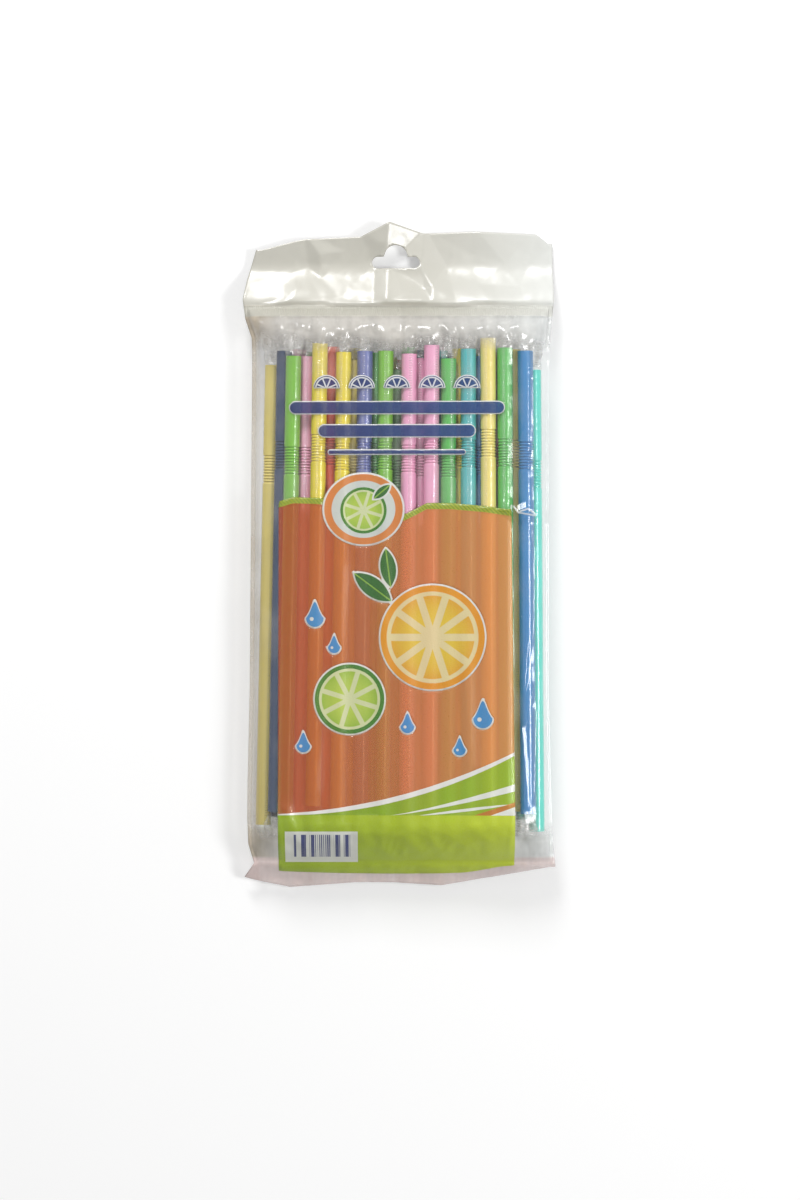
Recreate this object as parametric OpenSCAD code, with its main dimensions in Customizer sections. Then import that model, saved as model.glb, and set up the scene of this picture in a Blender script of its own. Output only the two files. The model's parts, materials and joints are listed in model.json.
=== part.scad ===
// A clear film header bag that lies on its back and holds fifty bendy straws, each in its own film sleeve.
// X runs across the bag, Y runs from its foot to its header and Z points up from the surface that it lies on.
// The pieces are worked out from the line of the straws' tops and then moved so that the bag is centred.
// All lengths are in millimetres.

/* [Straws] */
// Outer diameter of a straw
straw_d = 8; // [6.5:0.5:9]
// Length of a straw
straw_len = 240; // [220:5:260]
// Thickness of a straw's wall
straw_wall = 0.25; // [0.2:0.05:0.5]
// Distance from a straw's top end to its bellows
bellows_drop = 47; // [35:1:60]
// Folds in the bellows
bellows_folds = 10; // [6:1:14]
// Length of one fold
fold_pitch = 1.5; // [1.2:0.1:2]
// Depth of one fold
fold_depth = 0.7; // [0.4:0.1:0.9]

/* [Sleeves] */
// Thickness of a sleeve's film
sleeve_t = 0.1; // [0.08:0.02:0.2]
// Room between a straw and its sleeve
sleeve_gap = 0.1; // [0.1:0.05:0.3]
// Length over which a sleeve flattens past the straw's end
sleeve_taper = 4; // [3:0.5:6]
// Length of the flat crimped end of a sleeve
crimp_len = 3; // [2:0.5:5]
// Arc of the sleeve's long lap seam, in degrees
seam_arc = 40; // [20:5:60]
// Thickness of the lap seam over the sleeve
seam_t = 0.1; // [0.06:0.02:0.16]

/* [Stack] */
// Clearance between sleeves that nest in each other
nest_gap = 0.2; // [0.2:0.05:0.4]
// Angle at which the second row's left end straw leans on the lowest row
lean_left = 33; // [25:1:40]
// Angle at which the second row's right end straw leans on the lowest row
lean_right = 60; // [50:1:62]
// Angle at which the third row's right end straw leans on the second row
lean_upper = 44; // [30:1:50]
// Share of its distance from the fan's centre by which a straw's foot spreads
fan_rate = 0.05; // [0:0.01:0.06]
// Where the fan's centre lies, across the bag
fan_centre = 34; // [0:1:50]

/* [Bag] */
// Thickness of the bag's film
film_t = 0.2; // [0.15:0.05:0.3]
// Clearance between the film and the sleeves in it
bag_gap = 0.3; // [0.3:0.05:0.6]
// Room from the outermost sleeves to the bag's side edges
side_room = 2.6; // [2.6:0.2:8]
// Width of the side welds
weld_w = 2; // [1.5:0.5:4]
// Height at which the two films meet
rim_h = 12; // [10:0.5:14]
// Room from the furthest sleeve's end to the header's weld
head_room = 9.8; // [9.8:0.2:20]
// Length over which the film rises from the header's weld
head_run = 14; // [10:1:16]
// Room from the furthest sleeve's end to the foot's weld
foot_room = 8.8; // [8.8:0.2:20]
// Length over which the film rises from the foot's weld
foot_run = 22; // [16:1:22]
// Height of the header above its weld
header_h = 38; // [32:1:60]
// Length over which the header comes down to the surface
header_run = 24; // [16:1:28]
// Length of the flat film below the foot's weld
flap_h = 11; // [6:1:20]
// Depth to which the film dips between two straws
film_dip = 0.5; // [0:0.1:0.6]
// Height of the creases in the header
crease_h = 4; // [1:0.5:6]

/* [Hang slot] */
// Width of the hang slot
slot_w = 25; // [20:1:34]
// Height of the slot's two wings
slot_wing = 6; // [5:0.5:8]
// Radius of the round in the slot's middle
slot_round = 6; // [5:0.5:8]
// Distance from the header's weld to the slot's middle
slot_rise = 24; // [20:0.5:26]
// Distance from the bag's middle to the slot's middle, to the left
slot_left = 2; // [0:0.5:6]

/* [Print] */
// Thickness of the ink
ink_t = 0.1; // [0.06:0.02:0.2]
// Width of the printed panel
panel_w = 122; // [100:1:124]
// Distance from the panel's middle to the stack's middle, to the left
panel_left = 1.5; // [0:0.5:3]
// Distance from the straws' tops down to the panel's top edge
panel_drop = 78; // [70:1:100]
// Height of the green band at the panel's left foot
base_band = 30; // [26:1:44]
// Thickness of the green edge along the panel's top
top_edge = 3.4; // [2:0.2:6]
// Height to which the first white swoosh rises at the panel's right
swoosh_rise = 31; // [20:1:36]
// Width of a white swoosh at the panel's right
swoosh_w = 3.5; // [2:0.5:9]
// Diameter of the round badge
badge_d = 41; // [30:1:46]
// Width of the badge's coloured ring
badge_ring = 3.6; // [2:0.2:6]
// Width of the badge's white border
badge_border = 1; // [0.6:0.2:2]
// Distance from the panel's left edge to the badge's middle
badge_in = 44; // [30:1:60]
// Distance from the panel's top edge down to the badge's middle
badge_low = 3.5; // [0:0.5:8]
// Width of the plain label
label_w = 37; // [30:1:44]
// Height of the plain label
label_h = 16; // [10:1:20]
// Distance from the label to the panel's left and lower edges
label_in = 4.5; // [2:0.5:6]
// Radius of a half wheel in the row above the bars
wheel_r = 7; // [5:0.5:8]

/* [Hidden] */
round_steps = 48;
sleeve_r = straw_d / 2 + sleeve_gap + sleeve_t;
pitch = 2 * sleeve_r + nest_gap;
crimp_t = 3 * sleeve_t;
end_gap = 0.2;
seam_from = 70;

// Spare room between neighbours in the lowest row, given in straw diameters
spare = straw_d * [0.45, 0.2, 0.525, 0.5, 0.4, 0.025, 0.375, 0.375, 0.025, 0.025, 0.025];
function total(list, n) = n == 0 ? 0 : list[n - 1] + total(list, n - 1);
row_n = len(spare);
stack_w = row_n * pitch + total(spare, row_n);
lowest_z = film_t + bag_gap + sleeve_r;

// Axes of the four rows as [x, z] at the straws' tops: each straw lies in the valley below it
function leaning(from, angle, side) = from + pitch * [side * cos(angle), sin(angle)];
function valley(a, b) = [(a[0] + b[0]) / 2, a[1] + sqrt(pow(pitch, 2) - pow((b[0] - a[0]) / 2, 2))];
row_1 = [for (k = [0:row_n]) [k * pitch + total(spare, k) - stack_w / 2, lowest_z]];
row_2 = [
    leaning(row_1[0], lean_left, -1),
    for (k = [0:row_n - 1]) valley(row_1[k], row_1[k + 1]),
    leaning(row_1[row_n], lean_right, 1)
];
row_3 = [
    for (k = [0:row_n]) row_2[k] + row_2[k + 1] - row_1[k],
    leaning(row_2[row_n + 1], lean_upper, 1)
];
row_4 = [for (k = [0:row_n]) row_3[k] + row_3[k + 1] - row_2[k + 1]];
rows = [row_1, row_2, row_3, row_4];
axes = [for (row = rows) each row];

// How far each straw's top end stands past the stack's top line, given in straw diameters
slips = [
    [-0.25, 0.125, -0.5, 0.375, 0, -0.375, 0.25, -0.125, 0.125, -0.25, 0, 0.25],
    [-0.75, 0.25, 0, -0.375, 0.125, -0.25, 0.375, -0.5, 0, 0.25, -0.125, 0.125, -0.375],
    [0.125, -0.25, 0.375, -0.5, 0, -1.125, -0.375, 0.125, 0.25, -0.25, 0, 0.1875, -1.125],
    [-0.25, 0.5625, 0, 0.0625, 0.0625, -0.125, 0.4375, -0.4375, 0.1875, 0.875, 0.25, 0.0625]
];
slip = straw_d * [for (row = slips) each row];

// Colours of the straws, row by row from the left
lime = [0.49, 0.75, 0.2];
yellow = [0.93, 0.85, 0.22];
cream = [0.96, 0.9, 0.55];
blue = [0.3, 0.55, 0.8];
navy = [0.2, 0.32, 0.52];
lavender = [0.45, 0.48, 0.7];
leaf = [0.42, 0.75, 0.38];
sage = [0.45, 0.58, 0.42];
pink = [0.93, 0.7, 0.83];
coral = [0.9, 0.42, 0.3];
teal = [0.38, 0.72, 0.72];
aqua = [0.4, 0.85, 0.8];
shades = [
    [navy, lime, pink, yellow, teal, coral, blue, cream, leaf, aqua, pink, blue],
    [cream, pink, coral, lime, blue, yellow, leaf, pink, navy, lime, yellow, teal, aqua],
    [navy, pink, coral, cream, leaf, sage, pink, teal, yellow, blue, pink, cream, aqua],
    [lime, yellow, yellow, lavender, lime, pink, pink, leaf, teal, cream, leaf, blue]
];
shade = [for (row = shades) each row];
clear_film = [0.9, 0.93, 0.95, 0.35];
ink_orange = [0.86, 0.45, 0.22];
ink_green = [0.5, 0.68, 0.16];
ink_white = [0.96, 0.96, 0.94];
ink_blue = [0.14, 0.18, 0.42];

function straw_name(n) = str("straw_", n < 10 ? "0" : "", n);
straw_names = [for (n = [1:len(axes)]) straw_name(n)];

// Straw: one revolved tube whose wall folds in steeply and out gently along the bellows
fold_in = 0.35;
function wall_points(shift) = [
    [straw_d / 2 - shift, 0],
    [straw_d / 2 - shift, bellows_drop],
    for (k = [0:bellows_folds - 1], p = [[fold_in, fold_depth], [1, 0]])
        [straw_d / 2 - shift - p[1], bellows_drop + (k + p[0]) * fold_pitch],
    [straw_d / 2 - shift, straw_len]
];
function reversed(list) = [for (k = [len(list) - 1:-1:0]) list[k]];

module straw() {
    rotate_extrude($fn = round_steps)
        polygon(concat(wall_points(0), reversed(wall_points(straw_wall))));
}

// How far a straw's foot spreads from its top
function spread(x) = fan_rate * (x - fan_centre);

// Puts a piece drawn along Z from a straw's top end onto that straw's axis in the stack
module on_axis(n) {
    translate([axes[n][0], 0, axes[n][1]])
        rotate([0, 0, atan(spread(axes[n][0]) / straw_len)])
        translate([0, slip[n], 0])
        rotate([90, 0, 0])
        children();
}

// Sleeve: a round tube of film that flattens to a crimp past both ends of the straw
module sleeve_form(r, half_end, flat) {
    slope = (r - half_end) / sleeve_taper;
    reach = sleeve_taper + end_gap;
    side = [[-reach - flat, half_end], [-reach, half_end], [1 / slope - end_gap, r + 1]];
    upper = concat(side, [for (p = reversed(side)) [straw_len - p[0], p[1]]]);
    lower = [for (p = reversed(upper)) [p[0], -p[1]]];
    intersection() {
        translate([0, 0, -reach - flat])
            cylinder(r = r, h = straw_len + 2 * (reach + flat), $fn = round_steps);
        rotate([0, -90, 0])
            linear_extrude(height = 3 * r, center = true)
            polygon(concat(upper, lower));
    }
}

module sleeve() {
    difference() {
        union() {
            sleeve_form(sleeve_r, crimp_t / 2, crimp_len);
            rotate([0, 0, seam_from])
                rotate_extrude(angle = seam_arc, $fn = round_steps)
                translate([sleeve_r - sleeve_t / 2, 0])
                square([seam_t + sleeve_t / 2, straw_len]);
        }
        sleeve_form(sleeve_r - sleeve_t, crimp_t / 2 - sleeve_t, 0);
    }
}

function row_start(row) = row == 0 ? 0 : len(rows[row - 1]) + row_start(row - 1);

module sleeves(row) {
    color(clear_film)
        for (k = [0:len(rows[row]) - 1])
            on_axis(row_start(row) + k) sleeve();
}

// Edges of the bag, as [share of the way, how far the edge bulges there]
sleeve_reach = end_gap + sleeve_taper + crimp_len;
y_head = max(slip) + sleeve_reach + head_room;
y_foot = min(slip) - straw_len - sleeve_reach - foot_room;
foot_x = [for (a = axes) a[0] + spread(a[0])];
left_x = min(foot_x) - sleeve_r - side_room;
right_x = max(foot_x) + sleeve_r + side_room;
bulge_left = [
    [0, 5], [0.03, -2], [0.06, 1], [0.1, 1.6], [0.15, 1.4], [0.3, 0.3], [0.8, -1],
    [0.84, -0.8], [0.87, 2.6], [0.9, 4], [0.93, 2], [0.98, -3], [1, -3.6]
];
bulge_right = [[0, 4], [0.03, 3], [0.06, 2], [0.3, 0], [0.7, 0], [0.84, 0.4], [0.9, 2.5], [0.98, 2], [1, 1.6]];
bulge_head = [[0, -7.4], [0.18, -2], [0.37, -0.6], [0.465, 7], [0.58, 1.3], [0.75, 2.4], [0.96, 1], [1, -4]];
bulge_foot = [[0, -3], [0.13, 3], [0.35, 0.4], [0.48, 0.5], [0.64, 2], [0.83, -3], [1, -8]];
function share_y(y) = (y - y_foot + flap_h) / (y_head + header_h - y_foot + flap_h);
function edge_left(y) = left_x - lookup(share_y(y), bulge_left);
function edge_right(y) = right_x + lookup(share_y(y), bulge_right);
function share_x(x) = (x - left_x) / (right_x - left_x);
function edge_head(x) = y_head + header_h + lookup(share_x(x), bulge_head);
function edge_foot(x) = y_foot - flap_h - lookup(share_x(x), bulge_foot);

// Columns of the film's grid: the welds, the turn round the stack's side, then each top straw and each dip
turn = [0.05, 0.2, 0.45, 0.72];
side_n = len(turn) + 2;
col_n = 2 * side_n + 2 * row_n + 1;
function clamp01(v) = max(0, min(1, v));
function fanned(x, y) = x + spread(x) * clamp01(-y / straw_len);
function top_x(c) = c % 2 == 0 ? row_4[c / 2][0] : (row_4[(c - 1) / 2][0] + row_4[(c + 1) / 2][0]) / 2;
function top_z(c) = c % 2 == 0
    ? row_4[c / 2][1]
    : (row_4[(c - 1) / 2][1] + row_4[(c + 1) / 2][1]) / 2 - film_dip;
function mixed(a, b, t) = a + (b - a) * t;
function col_x(c, y, inset) =
    c == 0 ? edge_left(y) + inset
    : c == 1 ? edge_left(y) + weld_w + inset
    : c < side_n ? mixed(edge_left(y) + weld_w + inset, fanned(top_x(0), y), turn[c - 2])
    : c < col_n - side_n ? fanned(top_x(c - side_n), y)
    : c < col_n - 2 ? mixed(edge_right(y) - weld_w - inset, fanned(top_x(2 * row_n), y), turn[col_n - 3 - c])
    : c == col_n - 2 ? edge_right(y) - weld_w - inset
    : edge_right(y) - inset;

// Share of the film's full rise at a column: both films turn like a quarter of an ellipse, the back one more tightly
front_power = 2.2;
back_power = 3;
function round_share(t, power) = pow(1 - pow(1 - t, power), 1 / power);
function side_share(c, side) =
    let (power = side > 0 ? front_power : back_power)
    c < 2 || c > col_n - 3 ? 0
    : c < side_n ? round_share(turn[c - 2], power)
    : c >= col_n - side_n ? round_share(turn[col_n - 3 - c], power)
    : 1;
film_play = bag_gap + 0.1;
function drape(c) = top_z(max(0, min(2 * row_n, c - side_n))) + sleeve_r + film_play;

// Rows of the film's grid from the foot to the header
rise_steps = [0, 0.12, 0.3, 0.55, 0.8];
foot_rows = [for (t = rise_steps) y_foot + t * foot_run];
flat_n = 7;
flat_from = y_foot + foot_run;
flat_to = y_head - head_run;
flat_rows = [for (k = [0:flat_n]) mixed(flat_from, flat_to, k / flat_n)];
head_rows = [for (t = reversed(rise_steps)) y_head - t * head_run];
body_rows = concat(foot_rows, flat_rows, head_rows);
flap_steps = [1, 0.5];
header_steps = [0.13, 0.3, 0.46, 0.62, 0.8, 1];
row_y_n = len(body_rows);

// Share of the film's full rise at a row: the front film slopes up, and the back film turns under more tightly
function end_way(y, inset) =
    clamp01(min((y - y_foot - inset) / foot_run, (y_head - inset - y) / head_run));
function end_share(y, side, inset) =
    side > 0 ? sin(90 * end_way(y, inset)) : round_share(end_way(y, inset), back_power);

// The flat film past the welds comes down to the surface, with creases that lean both ways
function wave(v) = abs(v - floor(v) - 0.5) * 2;
function crease(x, y) = crease_h * wave((x + 0.7 * y) / 37) * wave((0.6 * x - y) / 29);
function smooth(t) = t * t * (3 - 2 * t);
function sheet_z(x, y) =
    y > y_head
    ? mixed(rim_h, film_t, smooth(clamp01((y - y_head) / header_run)))
        + crease(x, y) * smooth(clamp01((y - y_head) / header_h * 3))
    : mixed(rim_h, film_t, 0.8 * smooth(clamp01((y_foot - y) / flap_h)));

// One point of the film's outer face: side is 1 for the front and -1 for the back
function body_front(c, y) = rim_h + film_t + (drape(c) - rim_h) * side_share(c, 1) * end_share(y, 1, 0);
function body_back(c, y) = (rim_h - film_t) * (1 - side_share(c, -1) * end_share(y, -1, 0));
function body_point(c, y, side) = [col_x(c, y, 0), y, side > 0 ? body_front(c, y) : body_back(c, y)];
function sheet_point(c, y_in, edge, t, side) =
    let (x_in = col_x(c, y_in, 0))
    let (y = mixed(y_in, edge > 0 ? edge_head(x_in) : edge_foot(x_in), t))
    let (x = col_x(c, y, 0))
    [x, y, sheet_z(x, y) + side * film_t];
function outer_points(side, cols, flap, header, body) = [
    for (t = flap, c = cols) sheet_point(c, y_foot, -1, t, side),
    for (y = body, c = cols) body_point(c, y, side),
    for (t = header, c = cols) sheet_point(c, y_head, 1, t, side)
];

// The hollow between the two films
crack = 0.05;
hollow_inset = 0.3;
hollow_rows = [
    y_foot + hollow_inset,
    for (k = [1:row_y_n - 2]) body_rows[k],
    y_head - hollow_inset
];
function hollow_z(c, y, side) =
    let (share = side_share(c, side) * end_share(y, side, hollow_inset))
    mixed(rim_h + side * crack, side > 0 ? drape(c) : film_t, share);
hollow_cols = [1:col_n - 2];
function hollow_points(side) = [
    for (y = hollow_rows, c = hollow_cols) [col_x(c, y, hollow_inset), y, hollow_z(c, y, side)]
];

// A closed solid between two grids of points, each n wide and m high, the upper one listed first
module between(upper, lower, n, m) {
    low = n * m;
    rim = concat(
        [for (c = [0:n - 1]) c],
        [for (r = [1:m - 1]) r * n + n - 1],
        [for (c = [n - 2:-1:0]) (m - 1) * n + c],
        [for (r = [m - 2:-1:1]) r * n]
    );
    polyhedron(
        points = concat(upper, lower),
        faces = [
            for (r = [0:m - 2], c = [0:n - 2])
                each [
                    [r * n + c, (r + 1) * n + c, (r + 1) * n + c + 1],
                    [r * n + c, (r + 1) * n + c + 1, r * n + c + 1],
                    [low + r * n + c, low + (r + 1) * n + c + 1, low + (r + 1) * n + c],
                    [low + r * n + c, low + r * n + c + 1, low + (r + 1) * n + c + 1]
                ],
            for (k = [0:len(rim) - 1])
                let (a = rim[k], b = rim[(k + 1) % len(rim)])
                each [[a, b, low + b], [a, low + b, low + a]]
        ]
    );
}

// Hang slot: two rounded wings and a round in the middle
module hang_slot() {
    translate([(left_x + right_x) / 2 - slot_left, y_head + slot_rise, -rim_h])
        linear_extrude(height = 3 * rim_h) {
            hull()
                for (side = [-1, 1])
                    translate([side * (slot_w - slot_wing) / 2, 0]) circle(d = slot_wing, $fn = round_steps);
            translate([0, slot_wing / 2]) circle(r = slot_round, $fn = round_steps);
        }
}

all_cols = [for (c = [0:col_n - 1]) c];
front_points = outer_points(1, all_cols, flap_steps, header_steps, body_rows);
back_points = outer_points(-1, all_cols, flap_steps, header_steps, body_rows);
outer_n = len(front_points) / col_n;
module bag() {
    color(clear_film)
        difference() {
            between(front_points, back_points, col_n, outer_n);
            between(hollow_points(1), hollow_points(-1), col_n - 2, row_y_n);
            hang_slot();
        }
}

// Moves a finished piece so that the bag's outline is centred over the origin
film_x = [for (p = front_points) p[0]];
film_y = [for (p = front_points) p[1]];
module centred() {
    translate([-(min(film_x) + max(film_x)) / 2, -(min(film_y) + max(film_y)) / 2, 0]) children();
}

// Ink: a thin coat on the front film, cut to each field's outline
ink_cols = [for (c = [2:col_n - 3]) c];
panel_rows = [for (k = [0:row_y_n - 1]) if (k < len(foot_rows) + flat_n) body_rows[k]];
title_rows = [for (y = flat_rows) if (y > -panel_drop - badge_d / 2) y];
ink_height = 4 * (rim_h + straw_d);
function lifted(points) = [for (p = points) p + [0, 0, ink_t]];

module ink_coat(flap, body) {
    film = outer_points(1, ink_cols, flap, [], body);
    between(lifted(film), film, len(ink_cols), len(flap) + len(body));
}

module panel_ink() {
    intersection() {
        ink_coat(flap_steps, panel_rows);
        linear_extrude(height = ink_height) children();
    }
}

module title_ink() {
    intersection() {
        ink_coat([], title_rows);
        linear_extrude(height = ink_height) children();
    }
}

panel_x = -panel_w / 2 - panel_left;
panel_top = -panel_drop;
panel_foot = y_foot - flap_h / 2;
band_top = panel_foot + base_band;

module panel() {
    translate([panel_x, panel_foot]) square([panel_w, panel_top - panel_foot]);
}

module panel_edge() {
    translate([panel_x, panel_top - top_edge]) square([panel_w, top_edge]);
}

// All of the panel that lies under a curve which starts level at the left and rises to the right
curve_steps = 10;
module under_curve(from_y, rise) {
    polygon(concat(
        [for (k = [0:curve_steps])
            let (t = k / curve_steps)
            [panel_x + t * panel_w, from_y + rise * t * t]],
        [[panel_x + panel_w, panel_foot], [panel_x, panel_foot]]
    ));
}

// A strip that starts thin at the left and widens to the right
strip_start = 0.8;
module swoosh(rise) {
    difference() {
        under_curve(band_top + strip_start, rise + swoosh_w);
        under_curve(band_top, rise);
    }
}

lower_rise = swoosh_rise / 2 - swoosh_w;
module swooshes() {
    swoosh(swoosh_rise);
    swoosh(lower_rise);
}

module badge(inset) {
    translate([panel_x + badge_in, panel_top - badge_low]) circle(r = badge_d / 2 - inset, $fn = round_steps);
}

module label() {
    translate([panel_x + label_in, panel_foot + label_in]) square([label_w, label_h]);
}

module print_orange() {
    color(ink_orange)
        panel_ink() {
            difference() {
                panel();
                panel_edge();
                under_curve(band_top + strip_start, swoosh_rise + swoosh_w);
                badge(0);
            }
            difference() {
                badge(badge_border);
                badge(badge_border + badge_ring);
            }
        }
}

module print_green() {
    color(ink_green)
        panel_ink() {
            difference() {
                panel_edge();
                badge(0);
            }
            difference() {
                under_curve(band_top, swoosh_rise);
                swooshes();
                label();
            }
        }
}

module print_white() {
    color(ink_white)
        panel_ink() {
            swooshes();
            label();
            badge(badge_border + badge_ring);
            difference() {
                badge(0);
                badge(badge_border);
            }
        }
}

// Half wheels in a row over three rounded bars, each bar as [middle's height, width, thickness]
wheel_n = 5;
wheel_y = -19;
bars = [[-29, 112, 7], [-41, 82, 7], [-52, 72, 3]];
module half_wheel() {
    intersection() {
        difference() {
            circle(r = wheel_r, $fn = round_steps);
            difference() {
                circle(r = wheel_r * 0.85, $fn = round_steps);
                circle(r = wheel_r * 0.7, $fn = round_steps);
            }
        }
        translate([-wheel_r, 0]) square([2 * wheel_r, wheel_r]);
    }
}

module bar(width, thickness) {
    square([width - thickness, thickness], center = true);
    for (side = [-1, 1])
        translate([side * (width - thickness) / 2, 0]) circle(d = thickness, $fn = round_steps);
}

module print_blue() {
    color(ink_blue)
        title_ink()
        translate([panel_x + panel_w / 2, 0]) {
            for (k = [0:wheel_n - 1])
                translate([(k - (wheel_n - 1) / 2) * 2.6 * wheel_r, wheel_y]) half_wheel();
            for (b = bars)
                translate([0, b[0]]) bar(b[1], b[2]);
        }
}

// The straws are named by their place in the stack, from the lowest row up
for (n = [0:len(axes) - 1])
    centred() on_axis(n) color(shade[n]) straw();
centred() sleeves(0);  // sleeves_row_1
centred() sleeves(1);  // sleeves_row_2
centred() sleeves(2);  // sleeves_row_3
centred() sleeves(3);  // sleeves_row_4
centred() bag();
centred() print_orange();
centred() print_green();
centred() print_white();
centred() print_blue();
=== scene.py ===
# %% [markdown]
# # A header bag of fifty bendy straws
# The object is a clear film bag that lies on its back. It holds fifty straws in four nested layers, each
# straw in its own film sleeve, and it carries a printed panel on its front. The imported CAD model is
# loaded as a fixed frame: its straws stay as they are and get a better plastic, while the bag, the
# sleeves and the ink are made again here as film that sags, puckers and creases.

# %% Load the frame
import json
import math
from functools import reduce

import bpy
import numpy as np
from mathutils.geometry import delaunay_2d_cdt
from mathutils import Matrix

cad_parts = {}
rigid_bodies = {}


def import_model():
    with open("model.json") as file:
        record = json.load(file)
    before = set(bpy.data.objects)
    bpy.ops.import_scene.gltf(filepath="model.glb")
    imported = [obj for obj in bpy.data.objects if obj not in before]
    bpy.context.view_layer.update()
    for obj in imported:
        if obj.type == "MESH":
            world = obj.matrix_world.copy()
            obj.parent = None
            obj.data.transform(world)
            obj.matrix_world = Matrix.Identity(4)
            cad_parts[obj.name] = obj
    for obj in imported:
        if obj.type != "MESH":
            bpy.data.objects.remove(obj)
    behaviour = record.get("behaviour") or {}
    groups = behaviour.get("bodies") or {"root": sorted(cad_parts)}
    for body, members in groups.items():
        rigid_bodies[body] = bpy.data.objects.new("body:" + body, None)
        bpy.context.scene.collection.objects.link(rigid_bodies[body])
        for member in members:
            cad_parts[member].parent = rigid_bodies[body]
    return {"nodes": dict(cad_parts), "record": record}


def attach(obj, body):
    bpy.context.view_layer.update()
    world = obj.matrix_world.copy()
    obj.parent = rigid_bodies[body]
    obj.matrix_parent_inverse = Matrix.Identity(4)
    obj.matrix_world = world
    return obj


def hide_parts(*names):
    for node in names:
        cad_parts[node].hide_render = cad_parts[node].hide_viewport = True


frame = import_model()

scene = bpy.context.scene
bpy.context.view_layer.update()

# %% [markdown]
# ## Camera
# The photograph looks straight down from far away, so a long lens is the closest match: with a short one
# the top layer of straws would look larger than the bag's edge. One pixel of the 800 by 1200 picture is
# 0.5195 mm at the straws, which sets the height of the view.

# %% Camera straight above the bag
PIXEL_MM = 0.5195
PIXELS_HIGH = 1200
SENSOR_MM = 36
VIEW_CENTRE = (0.0005, -0.0234)
VIEW_HIGH = PIXELS_HIGH * PIXEL_MM / 1000
LENS_AWAY = 2.2
STRAWS_LEVEL = 0.022

camera_data = bpy.data.cameras.new("camera")
camera_data.sensor_width = SENSOR_MM
camera_data.lens = SENSOR_MM * LENS_AWAY / VIEW_HIGH
camera = bpy.data.objects.new("camera", camera_data)
camera.location = (*VIEW_CENTRE, LENS_AWAY + STRAWS_LEVEL)
scene.collection.objects.link(camera)
scene.camera = camera
print("lens, mm:", round(camera_data.lens, 1))

# %% [markdown]
# ## A small language for materials
# Every finish below is a node tree. Writing it as sums and products is easier to read than wiring boxes,
# so a Field wraps one output socket and turns each operator into a Math node. Colours are written as they
# look on screen and changed to linear light once.

# %% Fields and finishes
def paint(red, green, blue):
    """A colour as seen on screen, as the linear colour that a shader wants."""
    def linear(v):
        return v / 12.92 if v <= 0.04045 else ((v + 0.055) / 1.055) ** 2.4
    return (linear(red), linear(green), linear(blue), 1.0)


def math_node(operation, swapped=False):
    """A method of Field that adds one Math node."""
    def method(self, *others):
        values = (*others, self) if swapped else (self, *others)
        return self.math(operation, *values)
    return method


class Field:
    """A number that varies over a surface."""

    def __init__(self, finish, socket):
        self.finish = finish
        self.socket = socket

    def math(self, operation, *values, clamp=False):
        return self.finish.node(
            "ShaderNodeMath", dict(operation=operation, use_clamp=clamp), dict(enumerate(values)))

    __add__ = math_node("ADD")
    __radd__ = math_node("ADD", swapped=True)
    __sub__ = math_node("SUBTRACT")
    __rsub__ = math_node("SUBTRACT", swapped=True)
    __mul__ = math_node("MULTIPLY")
    __truediv__ = math_node("DIVIDE")
    __pow__ = math_node("POWER")
    __abs__ = math_node("ABSOLUTE")
    low = math_node("MINIMUM")
    high = math_node("MAXIMUM")
    sin = math_node("SINE")
    root = math_node("SQRT")
    part = math_node("FRACT")
    angle = math_node("ARCTAN2")

    def __neg__(self):
        return self * -1

    def unit(self):
        """The number held between 0 and 1."""
        return self.math("ADD", self, 0, clamp=True)

    def inside(self, soft=0.12):
        """1 where a distance is below zero, 0 where it is above, with a soft edge."""
        return self.math("ADD", self * (-1 / soft), 0.5, clamp=True)


class Finish:
    """A material whose nodes are added one by one."""

    def __init__(self, name):
        self.material = bpy.data.materials.new(name)
        self.material.use_nodes = True
        self.tree = self.material.node_tree
        self.tree.nodes.clear()

    def node(self, kind, settings=None, values=None, out=0):
        made = self.tree.nodes.new(kind)
        for key, value in (settings or {}).items():
            setattr(made, key, value)
        for key, value in (values or {}).items():
            if isinstance(value, Field):
                self.tree.links.new(value.socket, made.inputs[key])
            else:
                made.inputs[key].default_value = value
        return Field(self, made.outputs[out])

    def place(self):
        """Object coordinates in millimetres, as three fields."""
        where = self.node("ShaderNodeTexCoord", out="Object")
        parts = self.node("ShaderNodeSeparateXYZ", values={0: where}).socket.node
        return [Field(self, parts.outputs[k]) * 1000 for k in range(3)]

    def spot(self, x, y):
        return self.node("ShaderNodeCombineXYZ", values={0: x, 1: y})

    def blend(self, below, above, share):
        """One colour over another."""
        return self.node("ShaderNodeMix", dict(data_type="RGBA"), {0: share, 6: below, 7: above}, out=2)

    def noise(self, spot, scale, detail=2.0):
        return self.node(
            "ShaderNodeTexNoise", dict(noise_dimensions="2D"),
            {"Vector": spot, "Scale": scale, "Detail": detail})

    def facets(self, spot, scale):
        """Flat facets with sharp creases between them, like crushed film."""
        return self.node(
            "ShaderNodeTexVoronoi", dict(distance="MANHATTAN", voronoi_dimensions="2D"),
            {"Vector": spot, "Scale": scale})

    def bump(self, height, away=0.001, strength=1.0):
        return self.node("ShaderNodeBump", values={"Height": height, "Distance": away, "Strength": strength})

    def principled(self, values):
        return self.node("ShaderNodeBsdfPrincipled", values=values)

    def over(self, below, above, share):
        """One shader over another."""
        return self.node("ShaderNodeMixShader", values={0: share, 1: below, 2: above})

    def done(self, surface):
        output = self.tree.nodes.new("ShaderNodeOutputMaterial")
        self.tree.links.new(surface.socket, output.inputs["Surface"])
        return self.material


print("a screen grey of 0.5 is", round(paint(0.5, 0.5, 0.5)[0], 3), "in linear light")

# %% [markdown]
# ## Outlines as distances
# Most marks on the bag need their outline twice: once for the mesh that follows it, and once for the
# colours inside a material. Two drawings could drift apart. So each shape is one rule that gives the
# distance to its edge, below zero inside it, and the rule takes arrays of points as well as fields of a
# material.

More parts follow.
